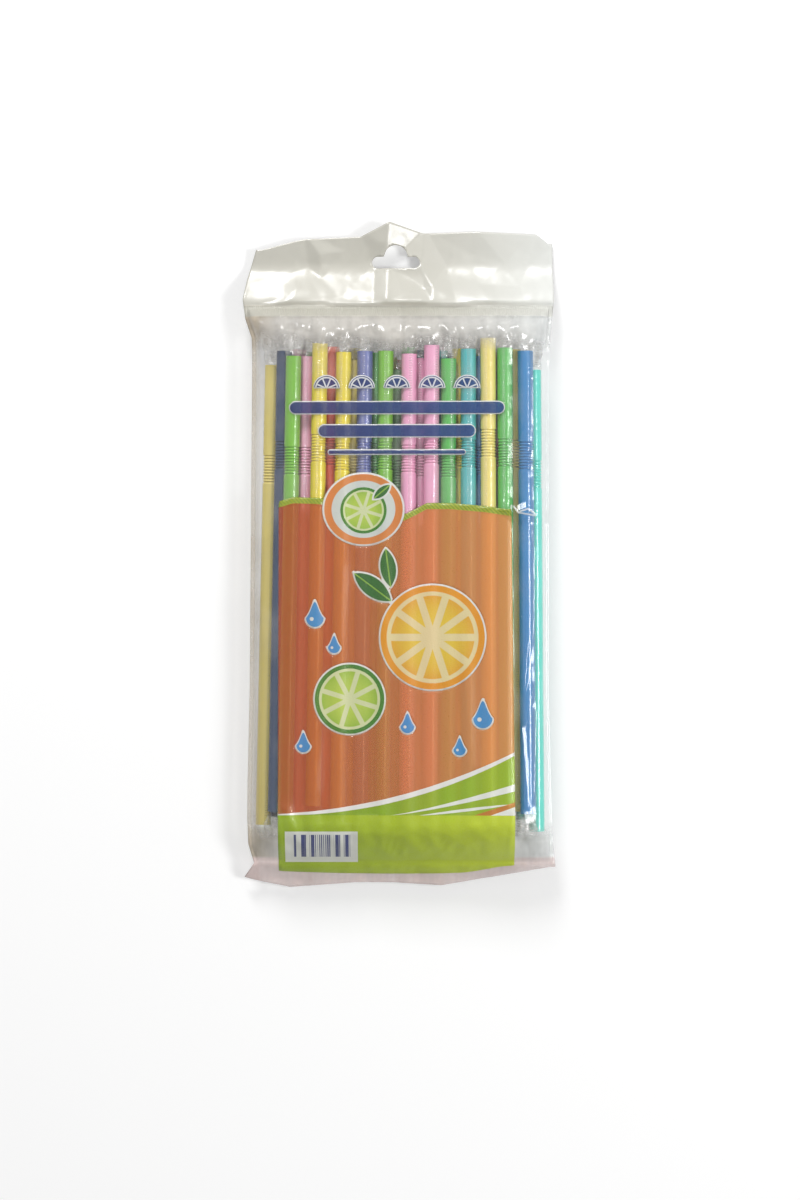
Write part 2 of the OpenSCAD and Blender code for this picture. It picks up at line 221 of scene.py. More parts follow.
# %% Rules for meshes and materials alike
def higher(a, b):
    return a.high(b) if isinstance(a, Field) else np.maximum(a, b)


def lower(a, b):
    return a.low(b) if isinstance(a, Field) else np.minimum(a, b)


def from_centre(x, y):
    return (x * x + y * y).root() if isinstance(x, Field) else np.hypot(x, y)


def disc(x, y, radius):
    return from_centre(x, y) - radius


def pill(x, y, wide, thick):
    """A bar with round ends."""
    return from_centre(higher(abs(x) - (wide - thick) / 2, 0), y) - thick / 2


def half_wheel(x, y, radius):
    return higher(disc(x, y, radius), -y)


ARC_SHARE = 0.72  # radius of a leaf's arcs as a share of its length


def leaf(x, y, turn, long):
    """Two arcs that meet in two points."""
    cos, sin = math.cos(turn), math.sin(turn)
    u = x * cos + y * sin
    v = y * cos - x * sin
    radius = long * ARC_SHARE
    lift = math.sqrt(radius ** 2 - (long / 2) ** 2)
    return higher(disc(u, v - lift, radius), disc(u, v + lift, radius))


def drop(x, y, radius):
    """A disc that narrows upwards."""
    up = higher(y, 0)
    return disc(x * (up * (0.9 / radius) + 1), lower(y, 0) + up * 0.55, radius)


mid_drop = drop(np.array(0.0), np.array(0.0), 4.0)
print("distance from the middle of a drop of 4 mm to its edge, mm:", round(float(mid_drop), 2))

# %% [markdown]
# ## Floor and sky
# The picture has a plain white ground. More lamps would wash the straws out, so the floor and the sky
# only look white: rays from the camera, from a reflection or through glass meet a little extra glow, and
# all other rays meet a plain pale floor under a dim sky.

# %% Floor and sky
SEEN_BY = ("Is Camera Ray", "Is Glossy Ray", "Is Transmission Ray")
FLOOR_GLOW = 0.36
FLOOR_HALF = 4
FLOOR_LEVEL = -0.0004

floor_finish = Finish("floor_white")
light_path = floor_finish.node("ShaderNodeLightPath").socket.node
shown = [Field(floor_finish, light_path.outputs[kind]) for kind in SEEN_BY]
floor_glow = reduce(higher, shown) * FLOOR_GLOW
floor_x, floor_y = floor_finish.place()[:2]
floor_speck = floor_finish.noise(floor_finish.spot(floor_x, floor_y), 0.4) * 0.004
floor_material = floor_finish.done(floor_finish.principled({
    "Base Color": paint(0.86, 0.86, 0.86), "Roughness": floor_speck + 0.9,
    "Emission Color": (1, 1, 1, 1), "Emission Strength": floor_glow}))
floor_mesh = bpy.data.meshes.new("floor")
floor_signs = ((-1, -1), (1, -1), (1, 1), (-1, 1))
floor_corners = [(FLOOR_HALF * x, FLOOR_HALF * y, FLOOR_LEVEL) for x, y in floor_signs]
floor_mesh.from_pydata(floor_corners, [], [(0, 1, 2, 3)])
floor = bpy.data.objects.new("floor", floor_mesh)
floor.data.materials.append(floor_material)
scene.collection.objects.link(floor)

SKY_LIGHT = 0.30
sky = bpy.data.worlds.new("sky")
scene.world = sky
sky.use_nodes = True
sky_nodes, sky_links = sky.node_tree.nodes, sky.node_tree.links
sky_path = sky_nodes.new("ShaderNodeLightPath")
shown_by = sky_path.outputs[SEEN_BY[0]]
for kind in SEEN_BY[1:]:
    either = sky_nodes.new("ShaderNodeMath")
    either.operation = "MAXIMUM"
    sky_links.new(shown_by, either.inputs[0])
    sky_links.new(sky_path.outputs[kind], either.inputs[1])
    shown_by = either.outputs[0]
sky_strength = sky_nodes.new("ShaderNodeMapRange")
sky_strength.inputs["To Min"].default_value = SKY_LIGHT
sky_strength.inputs["To Max"].default_value = 1.0
sky_links.new(shown_by, sky_strength.inputs["Value"])
sky_links.new(sky_strength.outputs[0], sky_nodes["Background"].inputs["Strength"])
sky_nodes["Background"].inputs["Color"].default_value = (1, 1, 1, 1)
print("the sky lights the bag with", SKY_LIGHT, "and shows as 1")

# %% [markdown]
# ### Two soft lamps
# Glossy film shows its lamps as white patches, so where they stand matters more than how strong they are.
# Both are square and soft. A lamp's power is worked out from the share of full light that it should give
# a level surface, so it can be moved without a change of brightness.

# %% Lamps
def softbox(name, place, side, share):
    """A square lamp that gives a level surface at the bag this share of full light."""
    away = math.sqrt(sum(v * v for v in place))
    data = bpy.data.lights.new(name, "AREA")
    data.size = side
    data.energy = share * math.pi ** 2 * away ** 2 / (place[2] / away)
    lamp = bpy.data.objects.new(name, data)
    lamp.location = place
    toward = -lamp.location.normalized()
    lamp.rotation_euler = toward.to_track_quat("-Z", "Y").to_euler()
    scene.collection.objects.link(lamp)
    print(name, "power, W:", round(data.energy, 1))


softbox("lamp_beyond_header", (-0.35, 1.45, 1.0), 0.5, 0.36)
softbox("lamp_right", (1.15, -0.1, 1.3), 0.4, 0.32)

# %% [markdown]
# ## The shape rule of the stack and the bag
# The straws lie in each other's valleys, so every row follows from the one below it. The film follows the
# top row: it lies on each straw, dips a little between two of them, turns down round the sides to the
# weld, and slopes to a flat seam at both ends. The numbers repeat those of the CAD source, in millimetres
# from the line of the straws' tops, and OFFSET says where that line lies in the frame.

# %% Sizes of the stack
STRAW_D, STRAW_LEN = 8.0, 240.0
SLEEVE_T, NEST_GAP = 0.1, 0.2
SLEEVE_R = STRAW_D / 2 + 2 * SLEEVE_T
PITCH = 2 * SLEEVE_R + NEST_GAP
FILM_T, BAG_GAP, RIM_H, WELD_W = 0.2, 0.3, 12.0, 2.0
FAN_RATE, FAN_CENTRE = 0.05, 34.0
Y_HEAD, Y_FOOT = 24.0, -265.0
HEADER_H, HEADER_RUN, FLAP_H = 38.0, 24.0, 11.0
HEAD_RUN, FOOT_RUN = 14.0, 22.0
LEFT_X, RIGHT_X = -78.02, 78.06
OFFSET = np.array([0.36043, 105.245, 0.0])

SPARE = STRAW_D * np.array([0.45, 0.2, 0.525, 0.5, 0.4, 0.025, 0.375, 0.375, 0.025, 0.025, 0.025])
SLIPS = STRAW_D * np.array([
    -0.25, 0.125, -0.5, 0.375, 0, -0.375, 0.25, -0.125, 0.125, -0.25, 0, 0.25,
    -0.75, 0.25, 0, -0.375, 0.125, -0.25, 0.375, -0.5, 0, 0.25, -0.125, 0.125, -0.375,
    0.125, -0.25, 0.375, -0.5, 0, -1.125, -0.375, 0.125, 0.25, -0.25, 0, 0.1875, -1.125,
    -0.25, 0.5625, 0, 0.0625, 0.0625, -0.125, 0.4375, -0.4375, 0.1875, 0.875, 0.25, 0.0625])


def leaning(start, degrees, side):
    turn = math.radians(degrees)
    return start + PITCH * np.array([side * math.cos(turn), math.sin(turn)])


def valley(a, b):
    return np.array([(a[0] + b[0]) / 2, a[1] + math.sqrt(PITCH ** 2 - ((b[0] - a[0]) / 2) ** 2)])


IN_ROW = len(SPARE) + 1
stack_w = len(SPARE) * PITCH + SPARE.sum()
first_level = FILM_T + BAG_GAP + SLEEVE_R
row_1 = [np.array([k * PITCH + SPARE[:k].sum() - stack_w / 2, first_level]) for k in range(IN_ROW)]
row_2 = [leaning(row_1[0], 33, -1)]
row_2 += [valley(a, b) for a, b in zip(row_1, row_1[1:])]
row_2 += [leaning(row_1[-1], 60, 1)]
row_3 = [row_2[k] + row_2[k + 1] - row_1[k] for k in range(IN_ROW)]
row_3 += [leaning(row_2[-1], 44, 1)]
row_4 = [row_3[k] + row_3[k + 1] - row_2[k + 1] for k in range(IN_ROW)]
axes = row_1 + row_2 + row_3 + row_4
TOP_X = np.array([a[0] for a in row_4])
TOP_Z = np.array([a[1] for a in row_4])
print("straws:", len(axes), "- the highest axis is", round(TOP_Z.max(), 2), "mm up")

# %% [markdown]
# ## The film over the stack
# The bag's cut edge is nowhere straight: the BULGE lists say how far it stands outside a straight line at
# shares of its length. A cloth simulation would let the film hang in soft waves, which film doesn't do.
# So its height is worked out: it runs from straw to straw with a small dip between them, and two shares
# bring it down to the rim, one towards the side welds and one towards the seams at both ends.

# %% Outline and height of the film
BULGE_LEFT = [(0, 5), (0.03, -2), (0.06, 1), (0.1, 1.6), (0.15, 1.4), (0.3, 0.3), (0.8, -1),
              (0.84, -0.8), (0.87, 2.6), (0.9, 4), (0.93, 2), (0.98, -3), (1, -3.6)]
BULGE_RIGHT = [(0, 4), (0.03, 3), (0.06, 2), (0.3, 0), (0.7, 0), (0.84, 0.4), (0.9, 2.5), (0.98, 2), (1, 1.6)]
BULGE_HEAD = [(0, -7.4), (0.18, -2), (0.37, -0.6), (0.465, 7), (0.58, 1.3), (0.75, 2.4), (0.96, 1), (1, -4)]
BULGE_FOOT = [(0, -3), (0.13, 3), (0.35, 0.4), (0.48, 0.5), (0.64, 2), (0.83, -3), (1, -8)]
DIP, DIP_GAP, FILM_AIR = 0.7, 11, 0.4
FRONT_POWER, BACK_POWER = 2.2, 3
FLAP_SLOPE = 0.8


def lookup(value, table):
    return np.interp(value, [p[0] for p in table], [p[1] for p in table])


def unit(v):
    return np.clip(v, 0.0, 1.0)


def smooth(t):
    return t * t * (3 - 2 * t)


def share_y(y):
    return (y - Y_FOOT + FLAP_H) / (Y_HEAD + HEADER_H - Y_FOOT + FLAP_H)


def share_x(x):
    return (x - LEFT_X) / (RIGHT_X - LEFT_X)


def edge_left(y):
    return LEFT_X - lookup(share_y(y), BULGE_LEFT)


def edge_right(y):
    return RIGHT_X + lookup(share_y(y), BULGE_RIGHT)


def edge_head(x):
    return Y_HEAD + HEADER_H + lookup(share_x(x), BULGE_HEAD)


def edge_foot(x):
    return Y_FOOT - FLAP_H - lookup(share_x(x), BULGE_FOOT)


def down(y):
    """Share of a straw's length from its top."""
    return unit(-y / STRAW_LEN)


def fanned(x, y):
    """Where a line that starts at x lies further down, as the straws fan out."""
    return x + FAN_RATE * (x - FAN_CENTRE) * down(y)


def straight(x, y):
    """The start of the line that passes here: fanned, undone."""
    return (x + FAN_RATE * FAN_CENTRE * down(y)) / (1 + FAN_RATE * down(y))


def round_share(t, power):
    """From 0 to 1, steep at first and level at the end."""
    return (1 - (1 - unit(t)) ** power) ** (1 / power)


def drape(x, y):
    """Height of the front film where it lies on the top row, with a dip between two straws."""
    across = np.clip(straight(x, y), TOP_X[0], TOP_X[-1] - 1e-6)
    k = np.clip(np.searchsorted(TOP_X, across, side="right") - 1, 0, len(TOP_X) - 2)
    gap = TOP_X[k + 1] - TOP_X[k]
    t = (across - TOP_X[k]) / gap
    dip = DIP * (gap / DIP_GAP) ** 2
    crown = TOP_Z[k] + (TOP_Z[k + 1] - TOP_Z[k]) * t + SLEEVE_R + FILM_AIR
    return crown - dip * (1 - np.cos(2 * np.pi * t)) / 2


def side_share(x, y, power):
    left, right = edge_left(y) + WELD_W, edge_right(y) - WELD_W
    from_left = (x - left) / (fanned(TOP_X[0], y) - left)
    from_right = (right - x) / (right - fanned(TOP_X[-1], y))
    return round_share(np.minimum(from_left, from_right), power)


def end_way(y):
    return unit(np.minimum((y - Y_FOOT) / FOOT_RUN, (Y_HEAD - y) / HEAD_RUN))


def body_front(x, y):
    rise = (drape(x, y) - RIM_H) * side_share(x, y, FRONT_POWER) * np.sin(np.pi / 2 * end_way(y))
    return RIM_H + FILM_T + rise


def body_back(x, y):
    settled = side_share(x, y, BACK_POWER) * round_share(end_way(y), BACK_POWER)
    return (RIM_H - FILM_T) * (1 - settled)


def sheet_height(x, y):
    header = RIM_H + (FILM_T - RIM_H) * smooth(unit((y - Y_HEAD) / HEADER_RUN))
    flap = RIM_H + (FILM_T - RIM_H) * FLAP_SLOPE * smooth(unit((Y_FOOT - y) / FLAP_H))
    return np.where(y > 0, header, flap)


print("front film over the middle straw, mm:", round(float(body_front(np.array(4.9), np.array(-100.0))), 2))

# %% [markdown]
# ## Creases
# Film is stiff: it does not ripple like cloth but breaks into flat facets with sharp creases between
# them. So the header's creases are a net of corner points, each with a height, joined by flat triangles.
# The corners lie where creases meet in the photograph. Their heights can't be seen there, so they were
# tried until the facets caught the lamps about as the real ones do. Smaller crumples, where film is
# gathered at the seams, come from many small pyramids that overlap, which also give flat facets.

# %% Header facets
CORNERS = [  # across, along and height over the header's plain slope
    (-76, 61, 4.0), (-66, 61, 4.4), (-50, 63, 5.0), (-21, 64, 5.0), (-5.6, 73, 7.2), (13, 66, 1.8),
    (39, 67, 2.0), (74, 66, 1.0), (82, 58, 0.6), (82, 45, 1.4), (82, 24, 0.8), (-84, 45, 2.0),
    (-84, 24, 0.4), (-6.8, 57, 5.6), (4, 57, 2.6), (-42, 52.4, 4.6), (-48, 46, 2.2), (-28.4, 54, 3.4),
    (-79.1, 36.5, 1.4), (-57.0, 42.5, 2.2), (-80, 27, 0.4), (-64.5, 27, 0.2), (-58, 27, 1.5),
    (-54.3, 34, 2.1), (-41, 39.5, 1.6), (-31, 29, 0.2), (-13.3, 47.6, 2.2), (-14, 27, 0.2),
    (-6, 47, 4.0), (-7, 27, 2.0), (11.2, 45.1, 4.0), (11.2, 27, 2.0), (12.7, 34, 0.6), (17, 35.6, 2.2),
    (17, 27, 1.4), (29, 27, 0.8), (24, 47, 0.8), (36.5, 53, 0.6), (54.7, 48, 1.8), (41.7, 36.4, 0.8),
    (67.7, 47, 0.8), (62.5, 35, 0.6), (46, 27, 1.6), (66, 27, 1.2)]
HEADER_NET = delaunay_2d_cdt([(c[0], c[1]) for c in CORNERS], [], [], 0, 1e-6)


def net_height(x, y):
    """Height of the flat triangles of the net at each point."""
    points = np.array([[p[0], p[1]] for p in HEADER_NET[0]])
    rise = np.array([CORNERS[ids[0]][2] for ids in HEADER_NET[3]])
    high = np.zeros_like(x)
    for a, b, c in HEADER_NET[2]:
        (ax, ay), (bx, by), (cx, cy) = points[a], points[b], points[c]
        area = (bx - ax) * (cy - ay) - (cx - ax) * (by - ay)
        u = ((bx - x) * (cy - y) - (cx - x) * (by - y)) / area
        v = ((cx - x) * (ay - y) - (ax - x) * (cy - y)) / area
        w = 1 - u - v
        hit = (u > -1e-6) & (v > -1e-6) & (w > -1e-6)
        high = np.where(hit, u * rise[a] + v * rise[b] + w * rise[c], high)
    return high


def pyramids(x, y, cell, seed):
    """Facets between 0 and 1: the lowest of many pyramids that stand on their tips, each turned at random."""
    dice = np.random.default_rng(seed)
    left, right, foot, head = -90, 90, -290, 80
    count = int((right - left) * (head - foot) / cell ** 2)
    middle_x, middle_y = dice.uniform(left, right, count), dice.uniform(foot, head, count)
    angles, widths = dice.uniform(0, np.pi / 2, count), dice.uniform(0.8, 1.6, count)
    best = np.full(x.shape, 9.0)
    for px, py, angle, wide in zip(middle_x, middle_y, angles, widths):
        near = (abs(x - px) < 2.5 * cell) & (abs(y - py) < 2.5 * cell)
        dx, dy = x[near] - px, y[near] - py
        ahead = dx * math.cos(angle) + dy * math.sin(angle)
        aside = dy * math.cos(angle) - dx * math.sin(angle)
        best[near] = np.minimum(best[near], (abs(ahead) * wide + abs(aside)) / cell)
    return unit(best)


print("header facets:", len(HEADER_NET[2]))

# %% [markdown]
# ### Folds and gathers
# Where the bag is pulled tight, straight folds run through its front film, and where it is gathered at
# the seams it is crushed. Noise would give soft lumps. So a fold is a low roof along a line, and the
# gathers are the crumple of the cell above, let in only near the seams and the side welds.

# %% Folds along the bag's body
FOLDS = [  # x, y, x, y, height, half width: straight tension folds in the front film
    (68.6, -175, 62.6, -195, 1.3, 2.8), (62.6, -195, 66.0, -237, 1.3, 3.0),
    (73, -165, 69, -232, 0.9, 2.2), (53, -79, 60, -84, 2.2, 4.2), (60, -84, 67, -81, 2.4, 4.4),
    (67, -81, 75, -87, 2.0, 4.0), (71, -100, 69, -150, 0.8, 3.0), (66, -150, 64, -176, 1.4, 2.2),
    (59, -238, 57, -262, 1.4, 2.6), (-72, -20, -66, -95, 0.9, 3.4), (-74, -120, -69, -200, 0.9, 3.2),
    (-70, -215, -64, -262, 1.6, 4.5), (-60, -236, -47, -264, 1.2, 5.0), (40, -246, 47, -265, 1.0, 4.0),
    (62, -236, 70, -264, 1.8, 5.5), (-30, -110, -44, -228, 0.5, 6.0), (30, -128, 38, -215, 0.6, 5.0),
    (-63, 20, -58, -3, 1.5, 4.5), (-35, 22, -40, 2, 1.2, 4.0), (22, 21, 27, 4, 1.2, 3.5),
    (60, 22, 66, -12, 1.6, 5.0)]

FOLD_PAST, FOLD_FADE = 3, 4


def fold_height(x, y):
    total = np.zeros_like(x)
    for x0, y0, x1, y1, high, wide in FOLDS:
        long = math.hypot(x1 - x0, y1 - y0)
        ux, uy = (x1 - x0) / long, (y1 - y0) / long
        along = (x - x0) * ux + (y - y0) * uy
        aside = abs((x - x0) * uy - (y - y0) * ux)
        fade = unit(np.minimum(along + FOLD_PAST, long + FOLD_PAST - along) / FOLD_FADE)
        total = np.maximum(total, high * unit(1 - aside / wide) * smooth(fade))
    return total


def gathers(x, y):
    """Share of crumple: most at both seams, some along the side welds, none where the film is taut."""
    at_head = unit((y + 6) / 14) * unit((Y_HEAD - y) / 5)
    at_foot = unit((-244 - y) / 12) * unit((y - Y_FOOT) / 5)
    side = np.minimum(x - edge_left(y), edge_right(y) - x)
    welds = unit(1 - abs(side - 8) / 6) * unit((y - Y_FOOT) / 8) * unit((Y_HEAD - y) / 8)
    return np.maximum(np.maximum(at_head, at_foot), 0.45 * welds)


GATHER_H, NET_LIFT, FLAP_CRUMPLE_H, FINE_CRUMPLE_H = 1.4, 1.5, 1.6, 0.2
SEAM_BLEND = 3


def film_heights(x, y):
    """Heights of the front and the back film, with every fold."""
    body = (y <= Y_HEAD) & (y >= Y_FOOT)
    small = pyramids(x, y, 7.5, 3)
    gathered = gathers(x, y) * GATHER_H * small
    front = body_front(x, y) + gathered + fold_height(x, y) * end_way(y) ** 0.5
    back = body_back(x, y)
    header = smooth(unit((y - Y_HEAD) / SEAM_BLEND))
    flap = smooth(unit((Y_FOOT - y) / SEAM_BLEND))
    creased = header * NET_LIFT * net_height(x, y)
    crumpled = flap * FLAP_CRUMPLE_H * pyramids(x, y, 11, 5)
    lift = creased + crumpled + header * FINE_CRUMPLE_H * small
    flat = sheet_height(x, y) + lift
    return np.where(body, front, flat + FILM_T), np.where(body, back, np.maximum(flat - FILM_T, 0.0))


print("folds along the body:", len(FOLDS))

# %% [markdown]
# ## The bag
# The real bag is one folded thin film, welded along both sides and across both ends. It is made as two
# grids of points, a front and a back film, that share their outline, so the shell is closed and has no
# inner wall: light has to pass each film only once. The grid's lines follow the straws, so that the dips
# between them stay sharp. The hang slot is cut by moving nearby points onto its outline and leaving out
# the faces inside it.

# %% Shells from two grids
def shell(name, top, bottom, faces, material):
    """A closed mesh from two sheets of points in millimetres, which share one list of triangles."""
    count = len(top)
    sides = np.concatenate([faces[:, [0, 1]], faces[:, [1, 2]], faces[:, [2, 0]]])
    key = np.sort(sides, 1)
    _, first, times = np.unique(key[:, 0] * count + key[:, 1], return_index=True, return_counts=True)
    rim = sides[first[times == 1]]
    walls = np.concatenate([np.stack([rim[:, 1], rim[:, 0], rim[:, 0] + count], 1),
                            np.stack([rim[:, 1], rim[:, 0] + count, rim[:, 1] + count], 1)])
    everything = np.concatenate([faces, faces[:, ::-1] + count, walls])
    points = (np.concatenate([top, bottom]) + OFFSET) / 1000
    used = np.zeros(2 * count, bool)
    used[everything.ravel()] = True
    fresh = np.cumsum(used) - 1
    mesh = bpy.data.meshes.new(name)
    mesh.from_pydata(points[used].tolist(), [], fresh[everything].tolist())
    mesh.polygons.foreach_set("use_smooth", [True] * len(mesh.polygons))
    mesh.materials.append(material)
    piece = bpy.data.objects.new(name, mesh)
    scene.collection.objects.link(piece)
    print(name, "triangles:", len(everything))
    return piece

# %% [markdown]
# ## Clear film
# Film is so thin that light goes straight through it. It shows by its gloss, by what makes it milky, and
# by a mirror that grows where it turns away from the eye. Glass would bend the straws behind it and needs
# many more rays. So the finish mixes a transparent shader with a milky one, and Layer Weight lays a
# mirror over both.

# %% Clear film
FILM_GLOSS, EDGE_MIRROR = 0.036, 0.8


def film_finish(finish, milk, tint, rough, bump, gloss):
    """Clear film with a share of milky white in it, and a mirror that grows where it turns away."""
    milky = finish.principled({"Base Color": tint, "Roughness": 0.5, "Normal": bump})
    clear = finish.node("ShaderNodeBsdfTransparent")
    mirror = finish.principled({
        "Base Color": (1, 1, 1, 1), "Metallic": 1.0, "Roughness": rough, "Normal": bump})
    facing = finish.node("ShaderNodeLayerWeight", values={"Blend": 0.5, "Normal": bump}, out="Facing")
    body = finish.over(clear, milky, milk)
    return finish.done(finish.over(body, mirror, facing ** 5 * EDGE_MIRROR + gloss))


print("share of mirror, straight on and edge on:", FILM_GLOSS, round(FILM_GLOSS + EDGE_MIRROR, 3))

# %% [markdown]
# ### The bag's own film
# One finish covers the whole bag, and zones along and across it say how it changes. The doubled header is
# nearly white, the seam below it is embossed with fine teeth, the film at both ends is loose and milky and
# the flap has a pink cast. The left side is painted a darker beige and the right side nearly white: painted
# shade and painted light, as from a lamp on the right. A few thin lines at the right are painted white as
# highlights on sharp creases. A painted picture could hold all this, but fields stay sharp when the camera
# comes near.

# %% Bag film
def from_line(x, y, x0, y0, x1, y1):
    """Distance to the straight line between two points."""
    long = math.hypot(x1 - x0, y1 - y0)
    ux, uy = (x1 - x0) / long, (y1 - y0) / long
    along = (x - x0) * ux + (y - y0) * uy
    aside = (x - x0) * uy - (y - y0) * ux
    return from_centre(higher(abs(along - long / 2) - long / 2, 0), aside)


SEAM_TOP, SEAM_FOOT = Y_HEAD + 0.6, Y_HEAD - 5.4
PAINTED_GLINT_LINES = [  # x, y, x, y: thin lines painted white, painted highlights along sharp creases
    (59.0, -80.2, 61.4, -83.4), (61.4, -83.4, 70.2, -84.9), (62.2, -82.8, 66.4, -81.4),
    (66.4, -81.4, 70.2, -84.2), (57.2, -84.8, 57.8, -79.8)]

bag_finish = Finish("bag_film")
bx, by, bz = bag_finish.place()
lx, ly = bx - float(OFFSET[0]), by - float(OFFSET[1])
here = bag_finish.spot(lx, ly)
header_zone = ((ly - SEAM_TOP) / 0.8).unit()
seam_zone = ((ly - SEAM_FOOT) / 0.8).unit() * (1 - header_zone)
flap_zone = ((Y_FOOT + 3 - ly) / 1.5).unit()
# More milky film along the left margin: partly the film's haze and partly painted shade, under the darker
# beige tint
left_zone = ((-72.5 - lx) / 3).unit() * (1 - header_zone)
right_zone = ((lx - 60) / 10).unit()
clouds = bag_finish.noise(here, 0.035)
loose = ((ly - 1 + (clouds - 0.5) * 14) / 9).unit().high(((-246 - ly) / 8).unit()) * (1 - header_zone)
pleats = bag_finish.noise(bag_finish.spot(lx * 0.16, ly * 0.05), 1.0)
crush = bag_finish.facets(here, 0.1)
teeth = ((lx * (2 * math.pi / 1.1)).sin() * 0.5 + 0.5) * seam_zone
# Painted highlight: milky white along these lines, on the high film only, stands in for glints on creases
from_glint_line = reduce(lower, [from_line(lx, ly, *line) for line in PAINTED_GLINT_LINES])
painted_glint = (from_glint_line - 0.35).inside(0.7) * ((bz - 16) / 2).unit()
milk = (((clouds - 0.46) * 0.4).high(0) * (1 - right_zone) + left_zone * 0.38 + painted_glint * 0.75
        + loose * (pleats * 0.3 + 0.34) + header_zone * 0.88 + seam_zone * (0.40 + teeth * 0.05))
film_bump = bag_finish.bump(
    crush * (0.2 + loose * 0.15 - header_zone * 0.15)
    + pleats * (0.2 + loose * 0.8 - header_zone * 0.2) + teeth * 0.25,
    strength=0.5)
# Painted shade: the film's tint turns a darker beige towards the left edge, as if the light came from the
# right
film_tint = bag_finish.blend(paint(0.88, 0.86, 0.825), paint(0.77, 0.72, 0.64), ((-63 - lx) / 10).unit())
film_tint = bag_finish.blend(film_tint, paint(0.785, 0.775, 0.73), header_zone)
film_tint = bag_finish.blend(film_tint, paint(0.74, 0.73, 0.68), seam_zone)
# Painted light: the film's tint turns nearly white towards the right, less so on the header and the seam
painted_light_right = (lx / 80).unit() ** 1.5 * (1 - header_zone * 0.45 - seam_zone * 0.6)
film_tint = bag_finish.blend(film_tint, paint(0.97, 0.985, 0.98), painted_light_right)
film_tint = bag_finish.blend(film_tint, paint(0.95, 0.86, 0.84), flap_zone)
bag_material = film_finish(
    bag_finish, milk.low(0.9), film_tint, header_zone * 0.14 + seam_zone * 0.3 + 0.16, film_bump,
    header_zone * 0.03 - seam_zone * 0.01 + FILM_GLOSS)
print("bag film nodes:", len(bag_finish.tree.nodes))

# %% [markdown]
# ## Outlines of the slot and the ink
# The hang slot is punched through the header. The ink lies on the front in separate fields: a panel, a
# badge on its upper edge, some fruit, leaves and drops, and a title of half wheels and bars. They could
# be drawn as curves, but simple shapes are kept more easily as lists of places and sizes, and one rule
# for each turns its list into a distance.

# %% Outlines of the slot and the ink
SLOT = (-1.98, Y_HEAD + 24)
PANEL_FOOT = -270.4
PANEL_TOP = [
    (-63, -77.6), (-55, -75.3), (-45, -75.6), (-32, -76.6), (2, -84.5), (8, -81.6), (14, -78.4),
    (26, -78.4), (44, -80), (52, -81.2), (57, -81.9)]
BADGE = (-18.8, -81.6, 21.4, 19.2)
BADGE_RADIUS = 20.3
WHEELS = [(-1.5 + 18.2 * k, -19.0, 7.0) for k in (-2, -1, 0, 1, 2)]
BARS = [(-1.5, -29.0, 112.0, 7.0), (-1.5, -41.0, 82.0, 7.0), (-1.5, -52.0, 72.0, 3.0)]
SLICES = [(17, -148, 27), (-26, -180, 18)]
LEAVES = [(-14, -122, 2.5, 24), (-6, -112, 1.7, 20)]
DROPS = [
    (-44, -138, 4.6), (-34, -153, 3.2), (43, -190, 5.0), (4, -194, 3.6), (31, -206, 3.2),
    (-50, -204, 3.6)]
RIM = 0.9


def slot_distance(x, y):
    """A bar with a round hump in its middle, which takes the peg of a shop's rack."""
    return lower(pill(x - SLOT[0], y - SLOT[1], 25, 6), disc(x - SLOT[0], y - SLOT[1] - 3, 6))


def panel_distance(x, y):
    left, right = -62.6 - 0.6 * down(y), 56.8 + 3.0 * down(y)
    foot = PANEL_FOOT - 1.4 * np.sin(np.pi * unit((x + 62) / 122)) + 3.2 * smooth(unit((x - 30) / 30))
    return reduce(np.maximum, [left - x, x - right, foot - y, y - lookup(x, PANEL_TOP)])


def badge_distance(x, y):
    return (from_centre((x - BADGE[0]) / BADGE[2], (y - BADGE[1]) / BADGE[3]) - 1) * BADGE_RADIUS


def title_distance(x, y):
    wheels = [half_wheel(x - mid, y - base, radius) for mid, base, radius in WHEELS]
    return reduce(lower, wheels + [pill(x - mid, y - level, wide, thick) for mid, level, wide, thick in BARS])


def fruit_distance(x, y):
    slices = [disc(x - mid, y - level, radius) for mid, level, radius in SLICES]
    leaves = [leaf(x - mid, y - level, turn, long) for mid, level, turn, long in LEAVES]
    drops = [drop(x - mid, y - level, radius) for mid, level, radius in DROPS]
    return reduce(lower, slices + leaves + drops) - RIM


OUTLINES = [slot_distance, panel_distance, fruit_distance, badge_distance, title_distance]
print("marks inside the fruit outline:", len(SLICES) + len(LEAVES) + len(DROPS))

# %% [markdown]
# ### Points of the bag
# A plain grid would cut across the dips between the straws and blur them. So the columns of points run
# along the straws and fan out with them, and they stand closer towards the side welds, where the film
# turns down.

# %% Points of the bag
SIDE_STEPS = [0.02, 0.05, 0.1, 0.16, 0.23, 0.31, 0.4, 0.5, 0.6, 0.7, 0.8, 0.9]
TOP_COLUMNS = 135
FINE_FOOT, FINE_HEAD = Y_FOOT + 30, -20
FOOT_ROWS, MIDDLE_ROWS, HEAD_ROWS = 28, 176, 40
FLAP_ROWS, HEADER_ROWS = 11, 40

level_x = np.linspace(TOP_X[0], TOP_X[-1], TOP_COLUMNS)
body_y = np.concatenate([
    np.linspace(Y_FOOT, FINE_FOOT, FOOT_ROWS)[:-1],
    np.linspace(FINE_FOOT, FINE_HEAD, MIDDLE_ROWS)[:-1],
    np.linspace(FINE_HEAD, Y_HEAD, HEAD_ROWS)])


